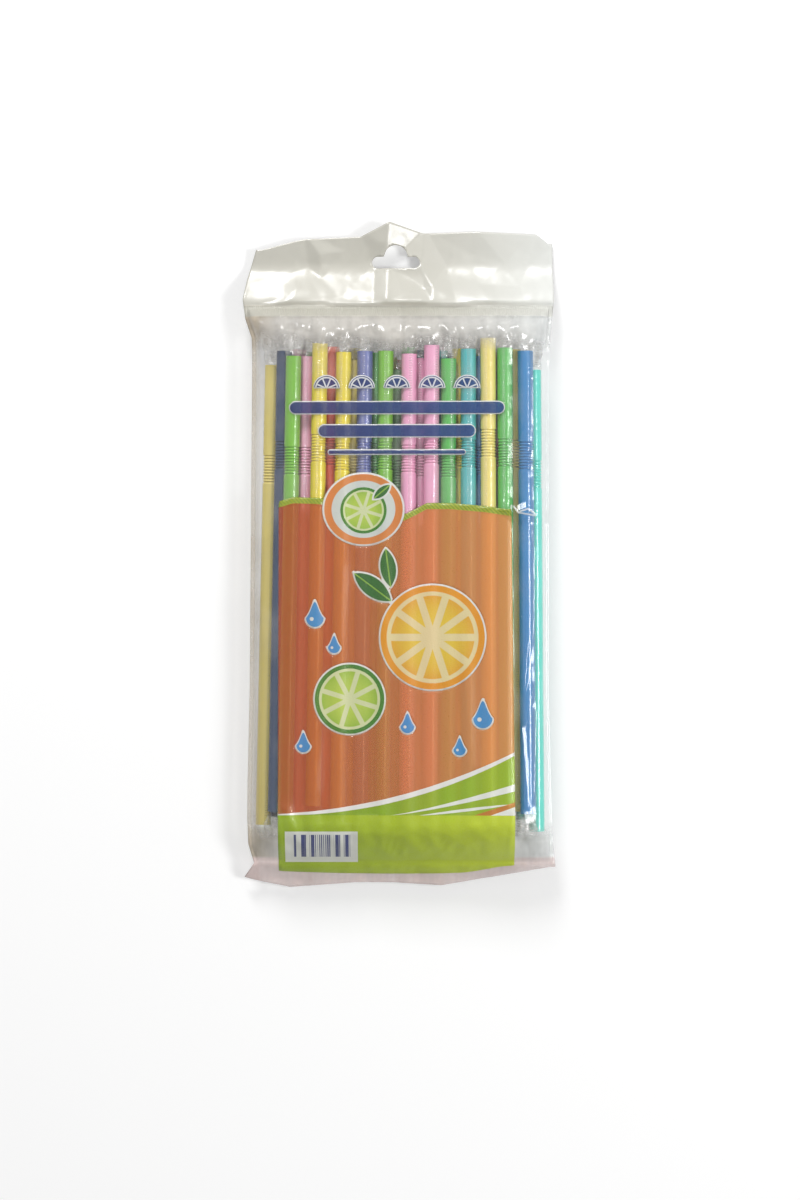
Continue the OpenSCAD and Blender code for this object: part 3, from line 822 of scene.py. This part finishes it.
def film_row(y):
    left, right = edge_left(y), edge_right(y)
    first, last = fanned(TOP_X[0], y), fanned(TOP_X[-1], y)
    from_left = [left, left + WELD_W / 2, left + WELD_W]
    from_left += [left + WELD_W + t * (first - left - WELD_W) for t in SIDE_STEPS]
    from_right = [right, right - WELD_W / 2, right - WELD_W]
    from_right += [right - WELD_W - t * (right - WELD_W - last) for t in SIDE_STEPS]
    return np.array(from_left + list(fanned(level_x, y)) + from_right[::-1])


def end_rows(seam_y, outer, shares):
    """Rows of the flap or the header, from the seam's line to the cut edge."""
    inner = film_row(seam_y)
    levels = [seam_y + (outer(inner) - seam_y) * t for t in shares]
    return [np.stack([[film_row(v)[k] for k, v in enumerate(y)], y], 1) for y in levels]


film_plan = np.array(
    end_rows(Y_FOOT, edge_foot, np.linspace(1, 0, FLAP_ROWS)[:-1])
    + [np.stack([film_row(y), np.full(len(film_row(y)), y)], 1) for y in body_y]
    + end_rows(Y_HEAD, edge_head, np.linspace(0, 1, HEADER_ROWS)[1:]))
print("rows and columns of points:", film_plan.shape[:2])

# %% [markdown]
# ### Points moved onto the outlines
# A printed edge that runs between the points of a grid comes out as steps. Cutting the mesh along it
# would leave thin slivers of faces. Moving the nearest points onto the edge keeps the grid as it is and
# makes the edge smooth.

# %% Points moved onto the outlines
PROBE, LONGEST_MOVE = 0.05, 1.2


def snap(grid, outline):
    """Wherever a grid line crosses an outline, move the nearer of its two points onto it."""
    x, y = grid[..., 0], grid[..., 1]
    away = outline(x, y)
    slope = np.stack([outline(x + PROBE, y) - away, outline(x, y + PROBE) - away], -1) / PROBE
    steep = np.maximum((slope ** 2).sum(-1), 0.2)
    moved = np.zeros(away.shape, bool)
    for near, far in ((np.s_[:-1], np.s_[1:]), (np.s_[:, :-1], np.s_[:, 1:])):
        crossed = away[near] * away[far] < 0
        moved[near] |= crossed & (abs(away[near]) <= abs(away[far]))
        moved[far] |= crossed & (abs(away[near]) > abs(away[far]))
    grid[moved] -= np.clip((away / steep)[moved], -LONGEST_MOVE, LONGEST_MOVE)[:, None] * slope[moved]
    return moved


on_outline = np.zeros(film_plan.shape[:2], bool)
for outline in OUTLINES:
    on_outline |= snap(film_plan, outline)
print("points moved onto outlines:", int(on_outline.sum()))

# %% [markdown]
# ### The shell
# Each cell of the grid is split along the diagonal that follows an outline, where there is one. The faces
# inside the hang slot are left out, and the shell is closed round that hole as it is round the bag's cut
# edge.

# %% Bag shell
n_rows, n_cols = film_plan.shape[:2]
plan = film_plan.reshape(-1, 2)
corner = (np.arange(n_rows - 1)[:, None] * n_cols + np.arange(n_cols - 1)[None, :]).ravel()
a, b, c, d = corner, corner + 1, corner + n_cols + 1, corner + n_cols
held = on_outline.ravel()
other_way = (held[b] & held[d] & ~(held[a] & held[c]))[:, None]
one_half = np.where(other_way, np.stack([a, b, d], 1), np.stack([a, b, c], 1))
other_half = np.where(other_way, np.stack([b, c, d], 1), np.stack([a, c, d], 1))
faces = np.concatenate([one_half, other_half])
middle = plan[faces].mean(1)
faces = faces[slot_distance(middle[:, 0], middle[:, 1]) > 0]
middle = plan[faces].mean(1)
front_z, back_z = film_heights(plan[:, 0], plan[:, 1])
front_film = np.column_stack([plan, front_z])
back_film = np.column_stack([plan, back_z])
bag_film = shell("bag_film", front_film, back_film, faces, bag_material)
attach(bag_film, "root")
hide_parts("bag")

# %% [markdown]
# ## The straws
# Each straw is an extruded tube of glossy plastic, and its bellows are folded into it afterwards. The CAD
# node already has that form, so only its finish is made here: extrusion leaves very fine streaks along
# the tube, which vary the colour, the gloss and the surface.

# %% Straw plastic
STRAW_COLOURS = dict(
    lime=(0.44, 0.74, 0.10), yellow=(0.95, 0.86, 0.10), cream=(0.98, 0.90, 0.48), blue=(0.12, 0.49, 0.75),
    navy=(0.08, 0.20, 0.37), lavender=(0.36, 0.40, 0.68), leaf=(0.30, 0.73, 0.28), sage=(0.34, 0.52, 0.32),
    pink=(0.98, 0.68, 0.82), coral=(0.90, 0.32, 0.20), teal=(0.24, 0.72, 0.73), aqua=(0.34, 0.92, 0.84))


def straw_finish(name, colour):
    finish = Finish("straw_" + name)
    x, y, z = finish.place()
    streaks = finish.noise(finish.spot(x + z * 0.6, y * 0.012), 1.1)
    patches = finish.noise(finish.spot(x, y), 0.05, 0.0)
    deep = paint(*[v * 0.93 for v in colour])
    pale = paint(*[v + (1 - v) * 0.12 for v in colour])
    shade = finish.blend(deep, pale, (streaks * 0.8 + patches * 0.4 - 0.1).unit())
    return finish.done(finish.principled({
        "Base Color": shade, "Roughness": streaks * 0.12 + 0.28, "Specular IOR Level": 0.35,
        "Normal": finish.bump(streaks, 0.0003, 0.3)}))


straw_materials = {"straw_" + name: straw_finish(name, colour) for name, colour in STRAW_COLOURS.items()}
dressed = 0
for part in frame["record"]["subparts"]:
    if part["material_slot"] in straw_materials:
        frame["nodes"][part["node"]].material_slots[0].material = straw_materials[part["material_slot"]]
        dressed += 1
print("straws given their plastic:", dressed)

# %% [markdown]
# ## The sleeves
# Fifty sleeves repeat one form: a tube of thin film with a crimped seam along it, pinched flat at both
# ends. A cylinder could be pinched with a modifier, but its rings have to lie closer where the film
# folds. So one sleeve is built ring by ring, with a mask on it that says how loose each point is.

# %% One sleeve
AROUND = 20
UV_MM = 100
PINCH_RUN, PINCHED_W, PINCHED_T, PINCH_FOLD = 6.5, 5.1, 0.12, 1.5


def zigzag(v):
    """Straight slopes up and down between -1 and 1."""
    return abs(v - np.floor(v) - 0.5) * 4 - 1


def sleeve_mesh():
    along = [14, 12.5, 11, 9.5, 8, 6.8, 5.6, 4.4, 3.2, 2.2, 1.2, 0.3] + list(np.linspace(-2, -238, 21))
    along += [-240.3 - v for v in (0, 0.9, 1.9, 2.9, 4.1, 5.3, 6.5, 7.8, 9.2, 10.6, 12)]
    points, loose = [], []
    for y in along:
        past = y if y > 0 else max(0.0, -STRAW_LEN - y)
        flat = float(smooth(unit(past / PINCH_RUN)))
        for k in range(AROUND):
            turn = 2 * math.pi * k / AROUND
            across, up = math.cos(turn), math.sin(turn)
            fold = flat * PINCH_FOLD * float(zigzag(0.8 * across + 0.25 + (0.3 if y < 0 else 0)))
            wide = SLEEVE_R * (1 - flat) + PINCHED_W * flat
            high = SLEEVE_R * (1 - flat) + PINCHED_T * flat
            points.append((wide * across / 1000, y / 1000, (high * up + fold) / 1000))
            loose.append(flat)
    last_ring = (len(along) - 1) * AROUND
    quads = []
    for ring in range(0, last_ring, AROUND):
        for k in range(AROUND):
            beside = (k + 1) % AROUND
            quads.append((ring + k, ring + AROUND + k, ring + AROUND + beside, ring + beside))
    ends = [tuple(range(AROUND)), tuple(reversed(range(last_ring, last_ring + AROUND)))]
    mesh = bpy.data.meshes.new("one_sleeve")
    mesh.from_pydata(points, [], quads + ends)
    mesh.polygons.foreach_set("use_smooth", [True] * len(mesh.polygons))
    mesh.attributes.new("loose", "FLOAT", "POINT").data.foreach_set("value", loose)
    uv = mesh.uv_layers.new(name="around_along")
    for face in mesh.polygons:
        for loop in face.loop_indices:
            vertex = mesh.loops[loop].vertex_index
            u = (vertex % AROUND) / AROUND
            if u == 0 and any(mesh.loops[m].vertex_index % AROUND == AROUND - 1 for m in face.loop_indices):
                u = 1.0
            uv.data[loop].uv = (u, along[vertex // AROUND] / UV_MM)
    return mesh


one_sleeve = bpy.data.objects.new("one_sleeve", sleeve_mesh())
scene.collection.objects.link(one_sleeve)
print("one sleeve has", len(one_sleeve.data.polygons), "faces")

# %% [markdown]
# ### Sleeve film
# A sleeve's film is thinner and clearer than the bag's, and shows by the crimped seam along it and by its
# crushed ends. The seam has to follow each sleeve, however it is turned. So this finish reads the
# sleeve's own UV map, where u goes round it and v along it.

# %% Sleeve finish
sleeve_finish = Finish("sleeve_film")
around_along = sleeve_finish.node("ShaderNodeUVMap", dict(uv_map="around_along"))
parts = sleeve_finish.node("ShaderNodeSeparateXYZ", values={0: around_along}).socket.node
su, sv = Field(sleeve_finish, parts.outputs[0]), Field(sleeve_finish, parts.outputs[1]) * UV_MM
sx, sy = sleeve_finish.place()[:2]
crinkle = sleeve_finish.facets(sleeve_finish.spot(sx, sy), 0.3)
seam = (abs(su - 0.2) - 0.035).inside(0.01)
ticks = ((sv * (2 * math.pi / 1.3)).sin()).high(0)
past_end = (sv / 2).unit().high(((-241 - sv) / 2).unit())
sleeve_milk = seam * (0.05 + ticks * 0.2) + past_end * (0.1 + crinkle * 0.2)
sleeve_bump = sleeve_finish.bump(crinkle * (0.15 + past_end * 0.35) + seam * ticks * 0.3, strength=0.5)
sleeve_material = film_finish(
    sleeve_finish, sleeve_milk, paint(0.90, 0.89, 0.87), 0.14, sleeve_bump, FILM_GLOSS)
print("sleeve film nodes:", len(sleeve_finish.tree.nodes))

# %% [markdown]
# ### Fifty sleeves
# Fifty copies of one mesh would have fifty equal ends. So a small mesh holds one point at each straw's
# top, with the straw's turn on it, and Geometry Nodes set the sleeve on every point. Noise then moves the
# loose ends, differently at every place. The tree ends in real faces, which are kept as one plain mesh.

# %% Fifty sleeves by Geometry Nodes
def sleeve_tree():
    """A sleeve on each straw's top, turned like the straw, with its loose ends crushed by noise."""
    tree = bpy.data.node_groups.new("sleeve_on_each_straw", "GeometryNodeTree")
    for name, kind in (("Straw tops", "Geometry"), ("Sleeve", "Object"), ("Crush depth", "Float"),
                       ("Crush size", "Float"), ("Film", "Material")):
        tree.interface.new_socket(name=name, in_out="INPUT", socket_type="NodeSocket" + kind)
    tree.interface.new_socket(name="Sleeves", in_out="OUTPUT", socket_type="NodeSocketGeometry")

    def add(kind, settings=None, values=None):
        made = tree.nodes.new(kind)
        for key, value in (settings or {}).items():
            setattr(made, key, value)
        for key, value in (values or {}).items():
            made.inputs[key].default_value = value
        return made

    given, result = add("NodeGroupInput"), add("NodeGroupOutput")
    turn = add("GeometryNodeInputNamedAttribute", dict(data_type="FLOAT_VECTOR"), {"Name": "turn"})
    as_rotation = add("FunctionNodeEulerToRotation")
    source = add("GeometryNodeObjectInfo")
    place = add("GeometryNodeInstanceOnPoints")
    real = add("GeometryNodeRealizeInstances")
    where = add("GeometryNodeInputPosition")
    crush = add("ShaderNodeTexNoise", values={"Detail": 1.0})
    centred = add("ShaderNodeVectorMath", dict(operation="SUBTRACT"), {1: (0.5, 0.5, 0.5)})
    mask = add("GeometryNodeInputNamedAttribute", dict(data_type="FLOAT"), {"Name": "loose"})
    depth = add("ShaderNodeMath", dict(operation="MULTIPLY"))
    offset = add("ShaderNodeVectorMath", dict(operation="SCALE"))
    move = add("GeometryNodeSetPosition")
    film = add("GeometryNodeSetMaterial")
    for giver, output, taker, entry in (
            (given, "Straw tops", place, "Points"), (given, "Sleeve", source, "Object"),
            (source, "Geometry", place, "Instance"), (turn, "Attribute", as_rotation, 0),
            (as_rotation, 0, place, "Rotation"), (place, 0, real, 0), (real, 0, move, "Geometry"),
            (where, 0, crush, "Vector"), (given, "Crush size", crush, "Scale"),
            (crush, "Color", centred, 0), (mask, "Attribute", depth, 0),
            (given, "Crush depth", depth, 1), (centred, 0, offset, 0), (depth, 0, offset, "Scale"),
            (offset, 0, move, "Offset"), (move, 0, film, "Geometry"),
            (given, "Film", film, "Material"), (film, 0, result, 0)):
        tree.links.new(giver.outputs[output], taker.inputs[entry])
    return tree


dice = np.random.default_rng(11)
tops, turned = [], []
for k, (x, z) in enumerate(axes):
    lean = math.atan(FAN_RATE * (x - FAN_CENTRE) / STRAW_LEN)
    top = np.array([x - SLIPS[k] * math.sin(lean), SLIPS[k] * math.cos(lean), z])
    tops.append(((top + OFFSET) / 1000).tolist())
    turned.append((0.0, float(dice.uniform(-0.7, 0.5)), lean))
tops_mesh = bpy.data.meshes.new("sleeves")
tops_mesh.from_pydata(tops, [], [])
tops_mesh.attributes.new("turn", "FLOAT_VECTOR", "POINT").data.foreach_set("vector", np.array(turned).ravel())
sleeves = bpy.data.objects.new("sleeves", tops_mesh)
scene.collection.objects.link(sleeves)
maker = sleeves.modifiers.new("sleeves", "NODES")
maker.node_group = sleeve_tree()
inputs = {"Sleeve": one_sleeve, "Crush depth": 0.0045, "Crush size": 160.0, "Film": sleeve_material}
for socket in maker.node_group.interface.items_tree:
    if socket.name in inputs:
        maker[socket.identifier] = inputs[socket.name]
bpy.context.view_layer.update()
made = bpy.data.meshes.new_from_object(sleeves.evaluated_get(bpy.context.evaluated_depsgraph_get()))
sleeves.modifiers.remove(maker)
sleeves.data = made
bpy.data.objects.remove(one_sleeve)
print("sleeves made:", len(tops))

# %% [markdown]
# ### The ends between the films
# Crushed ends would poke through the bag. In the real one the two films hold them down, so each point of
# an end that lies outside is moved up or down to just inside the film.

# %% Press the sleeves' ends between the films
END_FROM, FILM_ROOM = 2, 0.3
FOOT_ROOM, HEAD_ROOM = 2.0, 1.5
spots = np.empty(len(made.vertices) * 3)
made.vertices.foreach_get("co", spots)
spots = spots.reshape(-1, 3) * 1000 - OFFSET
ends = (spots[:, 1] > -END_FROM) | (spots[:, 1] < END_FROM - STRAW_LEN)
spots[:, 1] = np.clip(spots[:, 1], Y_FOOT + FOOT_ROOM, Y_HEAD - HEAD_ROOM)
roof = body_front(spots[:, 0], spots[:, 1]) - FILM_ROOM
ground = body_back(spots[:, 0], spots[:, 1]) + FILM_ROOM
spots[ends, 2] = np.minimum(np.maximum(spots[ends, 2], ground[ends]), roof[ends])
made.vertices.foreach_set("co", ((spots + OFFSET) / 1000).ravel())
made.update()
made.calc_loop_triangles()
print("sleeves triangles:", len(made.loop_triangles))
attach(sleeves, "root")
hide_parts("sleeves_row_1", "sleeves_row_2", "sleeves_row_3", "sleeves_row_4")

# %% [markdown]
# ## The ink
# Ink on film is a very thin coat that lets some light through, so that the colours of the straws show in
# it as bands. Each coat takes the bag's own faces inside its outline and lifts them a hair, so it follows
# every dip and crease exactly. The colours inside a coat are drawn with distances in its material.

# %% Coats of ink
WHITE = paint(0.97, 0.97, 0.955)
COAT_LOW, COAT_HIGH = 0.03, 0.09


def ink_fields(name):
    """A new finish, and the place on the bag in millimetres from the line of the straws' tops."""
    finish = Finish(name)
    x, y = finish.place()[:2]
    return finish, x - float(OFFSET[0]), y - float(OFFSET[1])


def tint(finish, red, green, blue):
    """Ink with no white in it: it only colours the light that passes."""
    return finish.node("ShaderNodeBsdfTransparent", values={"Color": (red, green, blue, 1.0)})


def ink_done(finish, x, y, tinted, colour, cover):
    """The coat: a share of solid colour with fine grain in it, over the tinted film."""
    grain = finish.noise(finish.spot(x, y), 1.2)
    shade = finish.blend(colour, paint(1, 1, 1), grain * 0.06)
    body = finish.principled({
        "Base Color": shade, "Roughness": grain * 0.1 + 0.25, "Coat Weight": 0.2,
        "Normal": finish.bump(grain, 0.0004, 0.4)})
    print(finish.material.name, "nodes:", len(finish.tree.nodes))
    return finish.done(finish.over(tinted, body, cover))


def coat(name, pick, material, slot_name, *nodes):
    """The bag's own faces inside an outline, lifted off the film."""
    piece = shell(name, front_film + [0, 0, COAT_HIGH], front_film + [0, 0, COAT_LOW], faces[pick], material)
    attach(piece, "root")
    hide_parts(*nodes)


def inside_of(outline):
    """Which of the bag's faces lie inside an outline."""
    return outline(middle[:, 0], middle[:, 1]) < 0


print("a coat of ink is", round(COAT_HIGH - COAT_LOW, 2), "mm thick and lies", COAT_LOW, "mm off the film")

# %% [markdown]
# ### Fruit and leaves
# A cut fruit is a disc of peel, a ring of rind and wedges of flesh. Drawing every wedge would take many
# shapes. The angle round the middle, cut to its fraction, repeats for each wedge, so one rule draws them
# all.

# %% Fruit and leaves as flat artwork
SHARP = 0.2  # softness of a printed edge, in millimetres


def citrus(finish, below, x, y, radius, peel, rind, flesh, edge, wedges, turn=0.0):
    """A cut fruit as flat artwork: peel, rind and wedges."""
    away = from_centre(x, y)
    wedge = ((y.angle(x) + (math.pi + turn)) * (wedges / (2 * math.pi))).part()
    from_wall = (0.5 - abs(wedge - 0.5)) * away * (2 * math.pi / wedges)
    pulp = finish.blend(flesh, edge, (away / radius) ** 3)
    off_walls = (0.07 * radius - from_wall).inside(SHARP)
    off_rind = (away - radius * 0.8).inside(SHARP)
    off_core = (0.1 * radius - away).inside(SHARP)
    inner = finish.blend(rind, pulp, off_walls * off_rind * off_core)
    skin = finish.blend(peel, inner, (away - radius * 0.88).inside(SHARP))
    return finish.blend(below, skin, (away - radius).inside(SHARP))


def leaf_mark(finish, below, x, y, turn, long, colour, vein):
    """A leaf with a vein and a white rim."""
    shape = leaf(x, y, turn, long)
    from_vein = abs(y * math.cos(turn) - x * math.sin(turn))
    body = finish.blend(colour, vein, (from_vein - 0.35).inside(SHARP))
    rimmed = finish.blend(below, WHITE, (shape - RIM).inside(SHARP))
    return finish.blend(rimmed, body, shape.inside(SHARP))


print("printed edges are", SHARP, "mm soft, and a leaf's white rim is", RIM, "mm wide")

# %% [markdown]
# ### Panel ink
# The panel goes from deep to light orange and ends in a green base whose upper edge sweeps up to the right.
# The orange and the greens are darker at the left and lighter at the right, which is print colour with
# painted shade in it. A picture could hold it, but here each field is a height above a line or a curve, so
# the edges stay sharp.

# %% Panel fields
BASE_TOP = -240.2
RISE_H, RISE_POWER = 31, 2.1
panel_finish, px, py = ink_fields("panel_ink")
across = ((px + 62.5) / 122).unit()
rise = across ** RISE_POWER * RISE_H + BASE_TOP
in_green = (py - rise).inside()
below_base = (py - BASE_TOP).inside()
# Print colours with painted shade: each ground is darker at the left and lighter at the right, as if lit from
# the right
orange_with_painted_shade = panel_finish.blend(paint(0.80, 0.35, 0.17), paint(1.0, 0.70, 0.42), across)
green_with_painted_shade = panel_finish.blend(paint(0.60, 0.75, 0.12), paint(0.74, 0.84, 0.20), across)
base_with_painted_shade = panel_finish.blend(paint(0.70, 0.81, 0.06), paint(0.93, 0.98, 0.22), across)
greens = panel_finish.blend(green_with_painted_shade, base_with_painted_shade, below_base)
fields = panel_finish.blend(orange_with_painted_shade, greens, in_green)
print("the green base is", round(BASE_TOP - PANEL_FOOT, 1), "mm high and rises", RISE_H, "mm at the right")

# %% [markdown]
# ### White curves and the label
# One white band follows the upper edge of the green. The others, and an orange one, start in points on
# the base's upper line and run to the right edge. Drawn one by one they would repeat the same sums, so
# they share a rule, with another start, run and bend for each. The label is a plain box, and its uneven
# strokes come from a few sine waves.

# %% White curves and the label
def wedge_band(start, run, power, height, thick):
    """A band that starts in a point on the base line and runs to the right edge."""
    way = ((px - start) / run).unit()
    foot = way ** power * height + BASE_TOP
    between = (py - (foot + thick(way))).inside() * (foot - py).inside()
    return between * (start - px).inside() * (BASE_TOP - py).inside()


first_white = (py - (rise + 0.7 + across * (1 - across) * 6 + across * 1.1)).inside() * (1 - in_green)
second_white = wedge_band(-5, 64.5, 1.3, 12.5, lambda way: way * 3.7)
third_white = wedge_band(9.9, 50, 1.5, 6, lambda way: way * (1 - way) * 6)
orange_wedge = wedge_band(38.4, 21.5, 1.0, 0, lambda way: way * 7)
last_white = wedge_band(47, 13, 1.0, 0, lambda way: way * 4.6)
label = (abs(px + 40.7) - 18.9).high(abs(py + 257) - 8.3).inside()
strokes = (px * 2.3).sin() * (px * 3.7 + 1).sin() + (px * 1.1).sin() * 0.4 - 0.02
stroke_box = (abs(px + 39.5) - 15.5).high(abs(py + 256.4) - 6).inside()
fields = panel_finish.blend(fields, paint(0.93, 0.56, 0.26), orange_wedge)
whites = first_white.high(second_white).high(third_white).high(last_white).high(label)
fields = panel_finish.blend(fields, WHITE, whites * (1 - orange_wedge * (1 - last_white)))
fields = panel_finish.blend(fields, paint(0.18, 0.22, 0.50), (strokes * -0.4).inside() * stroke_box)
print("nodes so far:", len(panel_finish.tree.nodes))

# %% [markdown]
# ### The panel's top edge
# A narrow green strip follows the panel's uneven upper edge. The edge is a line through a few points,
# which a Float Curve node follows inside the material. The tint below the solid colour lets the straws
# show through the ink as bands.

# %% The panel's top edge and its coat
LINE_LEFT, LINE_RUN = -64, 124
LINE_LOW, LINE_RISE = -90, 20
EDGE_STRIP = 3.2
top_line = panel_finish.node("ShaderNodeFloatCurve", values={"Value": (px - LINE_LEFT) / LINE_RUN})
curve = top_line.socket.node.mapping.curves[0]
curve_spots = [((x - LINE_LEFT) / LINE_RUN, (y - LINE_LOW) / LINE_RISE) for x, y in PANEL_TOP]
while len(curve.points) < len(curve_spots):
    curve.points.new(0.5, 0.5)
for point, spot in zip(curve.points, curve_spots):
    point.location = spot
    point.handle_type = "VECTOR"
top_line.socket.node.mapping.update()
edge_strip = (top_line * LINE_RISE + (LINE_LOW - EDGE_STRIP) - py).inside()
hatch = ((px + py) * 3.1).sin() * 0.5 + 0.5
hatched = panel_finish.blend(paint(0.52, 0.62, 0.08), paint(0.72, 0.74, 0.20), hatch)
fields = panel_finish.blend(fields, hatched, edge_strip)
orange_tint = tint(panel_finish, 1.0, 0.87, 0.74)
green_tint = tint(panel_finish, 0.88, 0.96, 0.62)
panel_tint = panel_finish.over(orange_tint, green_tint, in_green.high(edge_strip))
panel_cover = (whites.high(edge_strip * 0.8) * 0.4 + in_green * 0.08 + 0.40).low(0.76)
panel_material = ink_done(panel_finish, px, py, panel_tint, fields, panel_cover)
in_badge, in_fruit = inside_of(badge_distance), inside_of(fruit_distance)
on_panel = inside_of(panel_distance) & ~in_badge & ~in_fruit
coat("panel_print", on_panel, panel_material, "ink_orange", "print_orange", "print_green")

# %% [markdown]
# ### Fruit ink
# Two cut fruits, two leaves and a few drops stand on the panel, each with a thin white rim. They are laid
# one over the other, as a printer lays colours, starting from plain white.

# %% Fruit ink
fruit_finish, fx, fy = ink_fields("fruit_ink")
ORANGE_INK = (paint(0.98, 0.66, 0.10), paint(0.99, 0.92, 0.70),
              paint(0.99, 0.86, 0.26), paint(0.95, 0.56, 0.14), 10)
LIME_INK = (paint(0.27, 0.55, 0.13), paint(0.92, 0.95, 0.74),
            paint(0.80, 0.90, 0.36), paint(0.50, 0.73, 0.16), 8, 0.3)
LEAF_INK = (paint(0.18, 0.45, 0.14), paint(0.58, 0.75, 0.28))
DROP_INK = paint(0.27, 0.62, 0.88)
art = WHITE
for (mid, level, radius), inks in zip(SLICES, (ORANGE_INK, LIME_INK)):
    art = citrus(fruit_finish, art, fx - mid, fy - level, radius, *inks)
for mid, level, turn, long in LEAVES:
    art = leaf_mark(fruit_finish, art, fx - mid, fy - level, turn, long, *LEAF_INK)
for mid, level, radius in DROPS:
    ux, uy = fx - mid, fy - level
    shine = disc(ux + radius * 0.35, uy + radius * 0.1, radius * 0.22).inside(SHARP)
    wet = fruit_finish.blend(DROP_INK, WHITE, shine)
    art = fruit_finish.blend(art, wet, drop(ux, uy, radius).inside(SHARP))
fruit_material = ink_done(fruit_finish, fx, fy, tint(fruit_finish, 1.0, 0.95, 0.88), art, 0.6)
coat("fruit_print", in_fruit, fruit_material, "ink_orange", "print_orange")

# %% [markdown]
# ### Badge ink
# The badge is an oval with a white edge, an orange ring and a pale middle, and holds a cut lime with a
# leaf. It is drawn with the same rules as the fruit, so the two match.

# %% Badge ink
badge_finish, gx, gy = ink_fields("badge_ink")
from_edge = -badge_distance(gx, gy)
ring = badge_finish.blend(paint(0.90, 0.92, 0.90), paint(0.93, 0.57, 0.27), (from_edge - 4.6).inside())
ring = badge_finish.blend(ring, WHITE, (from_edge - 1.0).inside())
face = citrus(badge_finish, ring, gx - BADGE[0], gy - BADGE[1] + 0.6, 12.0, *LIME_INK)
face = leaf_mark(badge_finish, face, gx - BADGE[0] - 9.5, gy - BADGE[1] - 9.0, 0.7, 11, *LEAF_INK)
badge_material = ink_done(badge_finish, gx, gy, tint(badge_finish, 0.98, 0.98, 0.96), face, 0.62)
coat("badge_print", in_badge, badge_material, "ink_white", "print_white")

# %% [markdown]
# ### Title ink
# Three blue bars stand under a row of half wheels, all rimmed in white. The spokes come from the angle
# round each wheel's middle, like the wedges of the fruit.

# %% Title ink
title_finish, tx, ty = ink_fields("title_ink")
rim = (-0.55 - title_distance(tx, ty)).inside()
ribs = []
for mid, base, radius in WHEELS:
    ux, uy = tx - mid, ty - base
    away = from_centre(ux, uy)
    wedge = (uy.angle(ux) * (4 / math.pi) + 4.5).part()
    from_rib = (0.5 - abs(wedge - 0.5)) * away * (math.pi / 4) - 0.35
    spokes = from_rib.inside() * (away - 5.2).inside()
    hoop = (abs(away - 5.6) - 0.35).inside()
    ribs.append(spokes.high(hoop) * half_wheel(ux, uy, radius).inside())
title_colour = title_finish.blend(paint(0.15, 0.19, 0.45), paint(0.12, 0.30, 0.55), ((tx + 58) / 116).unit())
title_colour = title_finish.blend(title_colour, WHITE, rim.high(reduce(higher, ribs)))
title_material = ink_done(title_finish, tx, ty, tint(title_finish, 0.9, 0.92, 0.97), title_colour, 0.62)
coat("title_print", inside_of(title_distance), title_material, "ink_blue", "print_blue")

# %% [markdown]
# ## Last settings
# The Standard view shows colours as they are written. Rays pass through many layers of film here, so the
# limit for transparent layers is high and the other limits are low, which keeps the render quick.

# %% Last settings
scene.view_settings.view_transform = "Standard"
scene.cycles.max_bounces = 6
scene.cycles.diffuse_bounces = 2
scene.cycles.glossy_bounces = 2
scene.cycles.transparent_max_bounces = 20
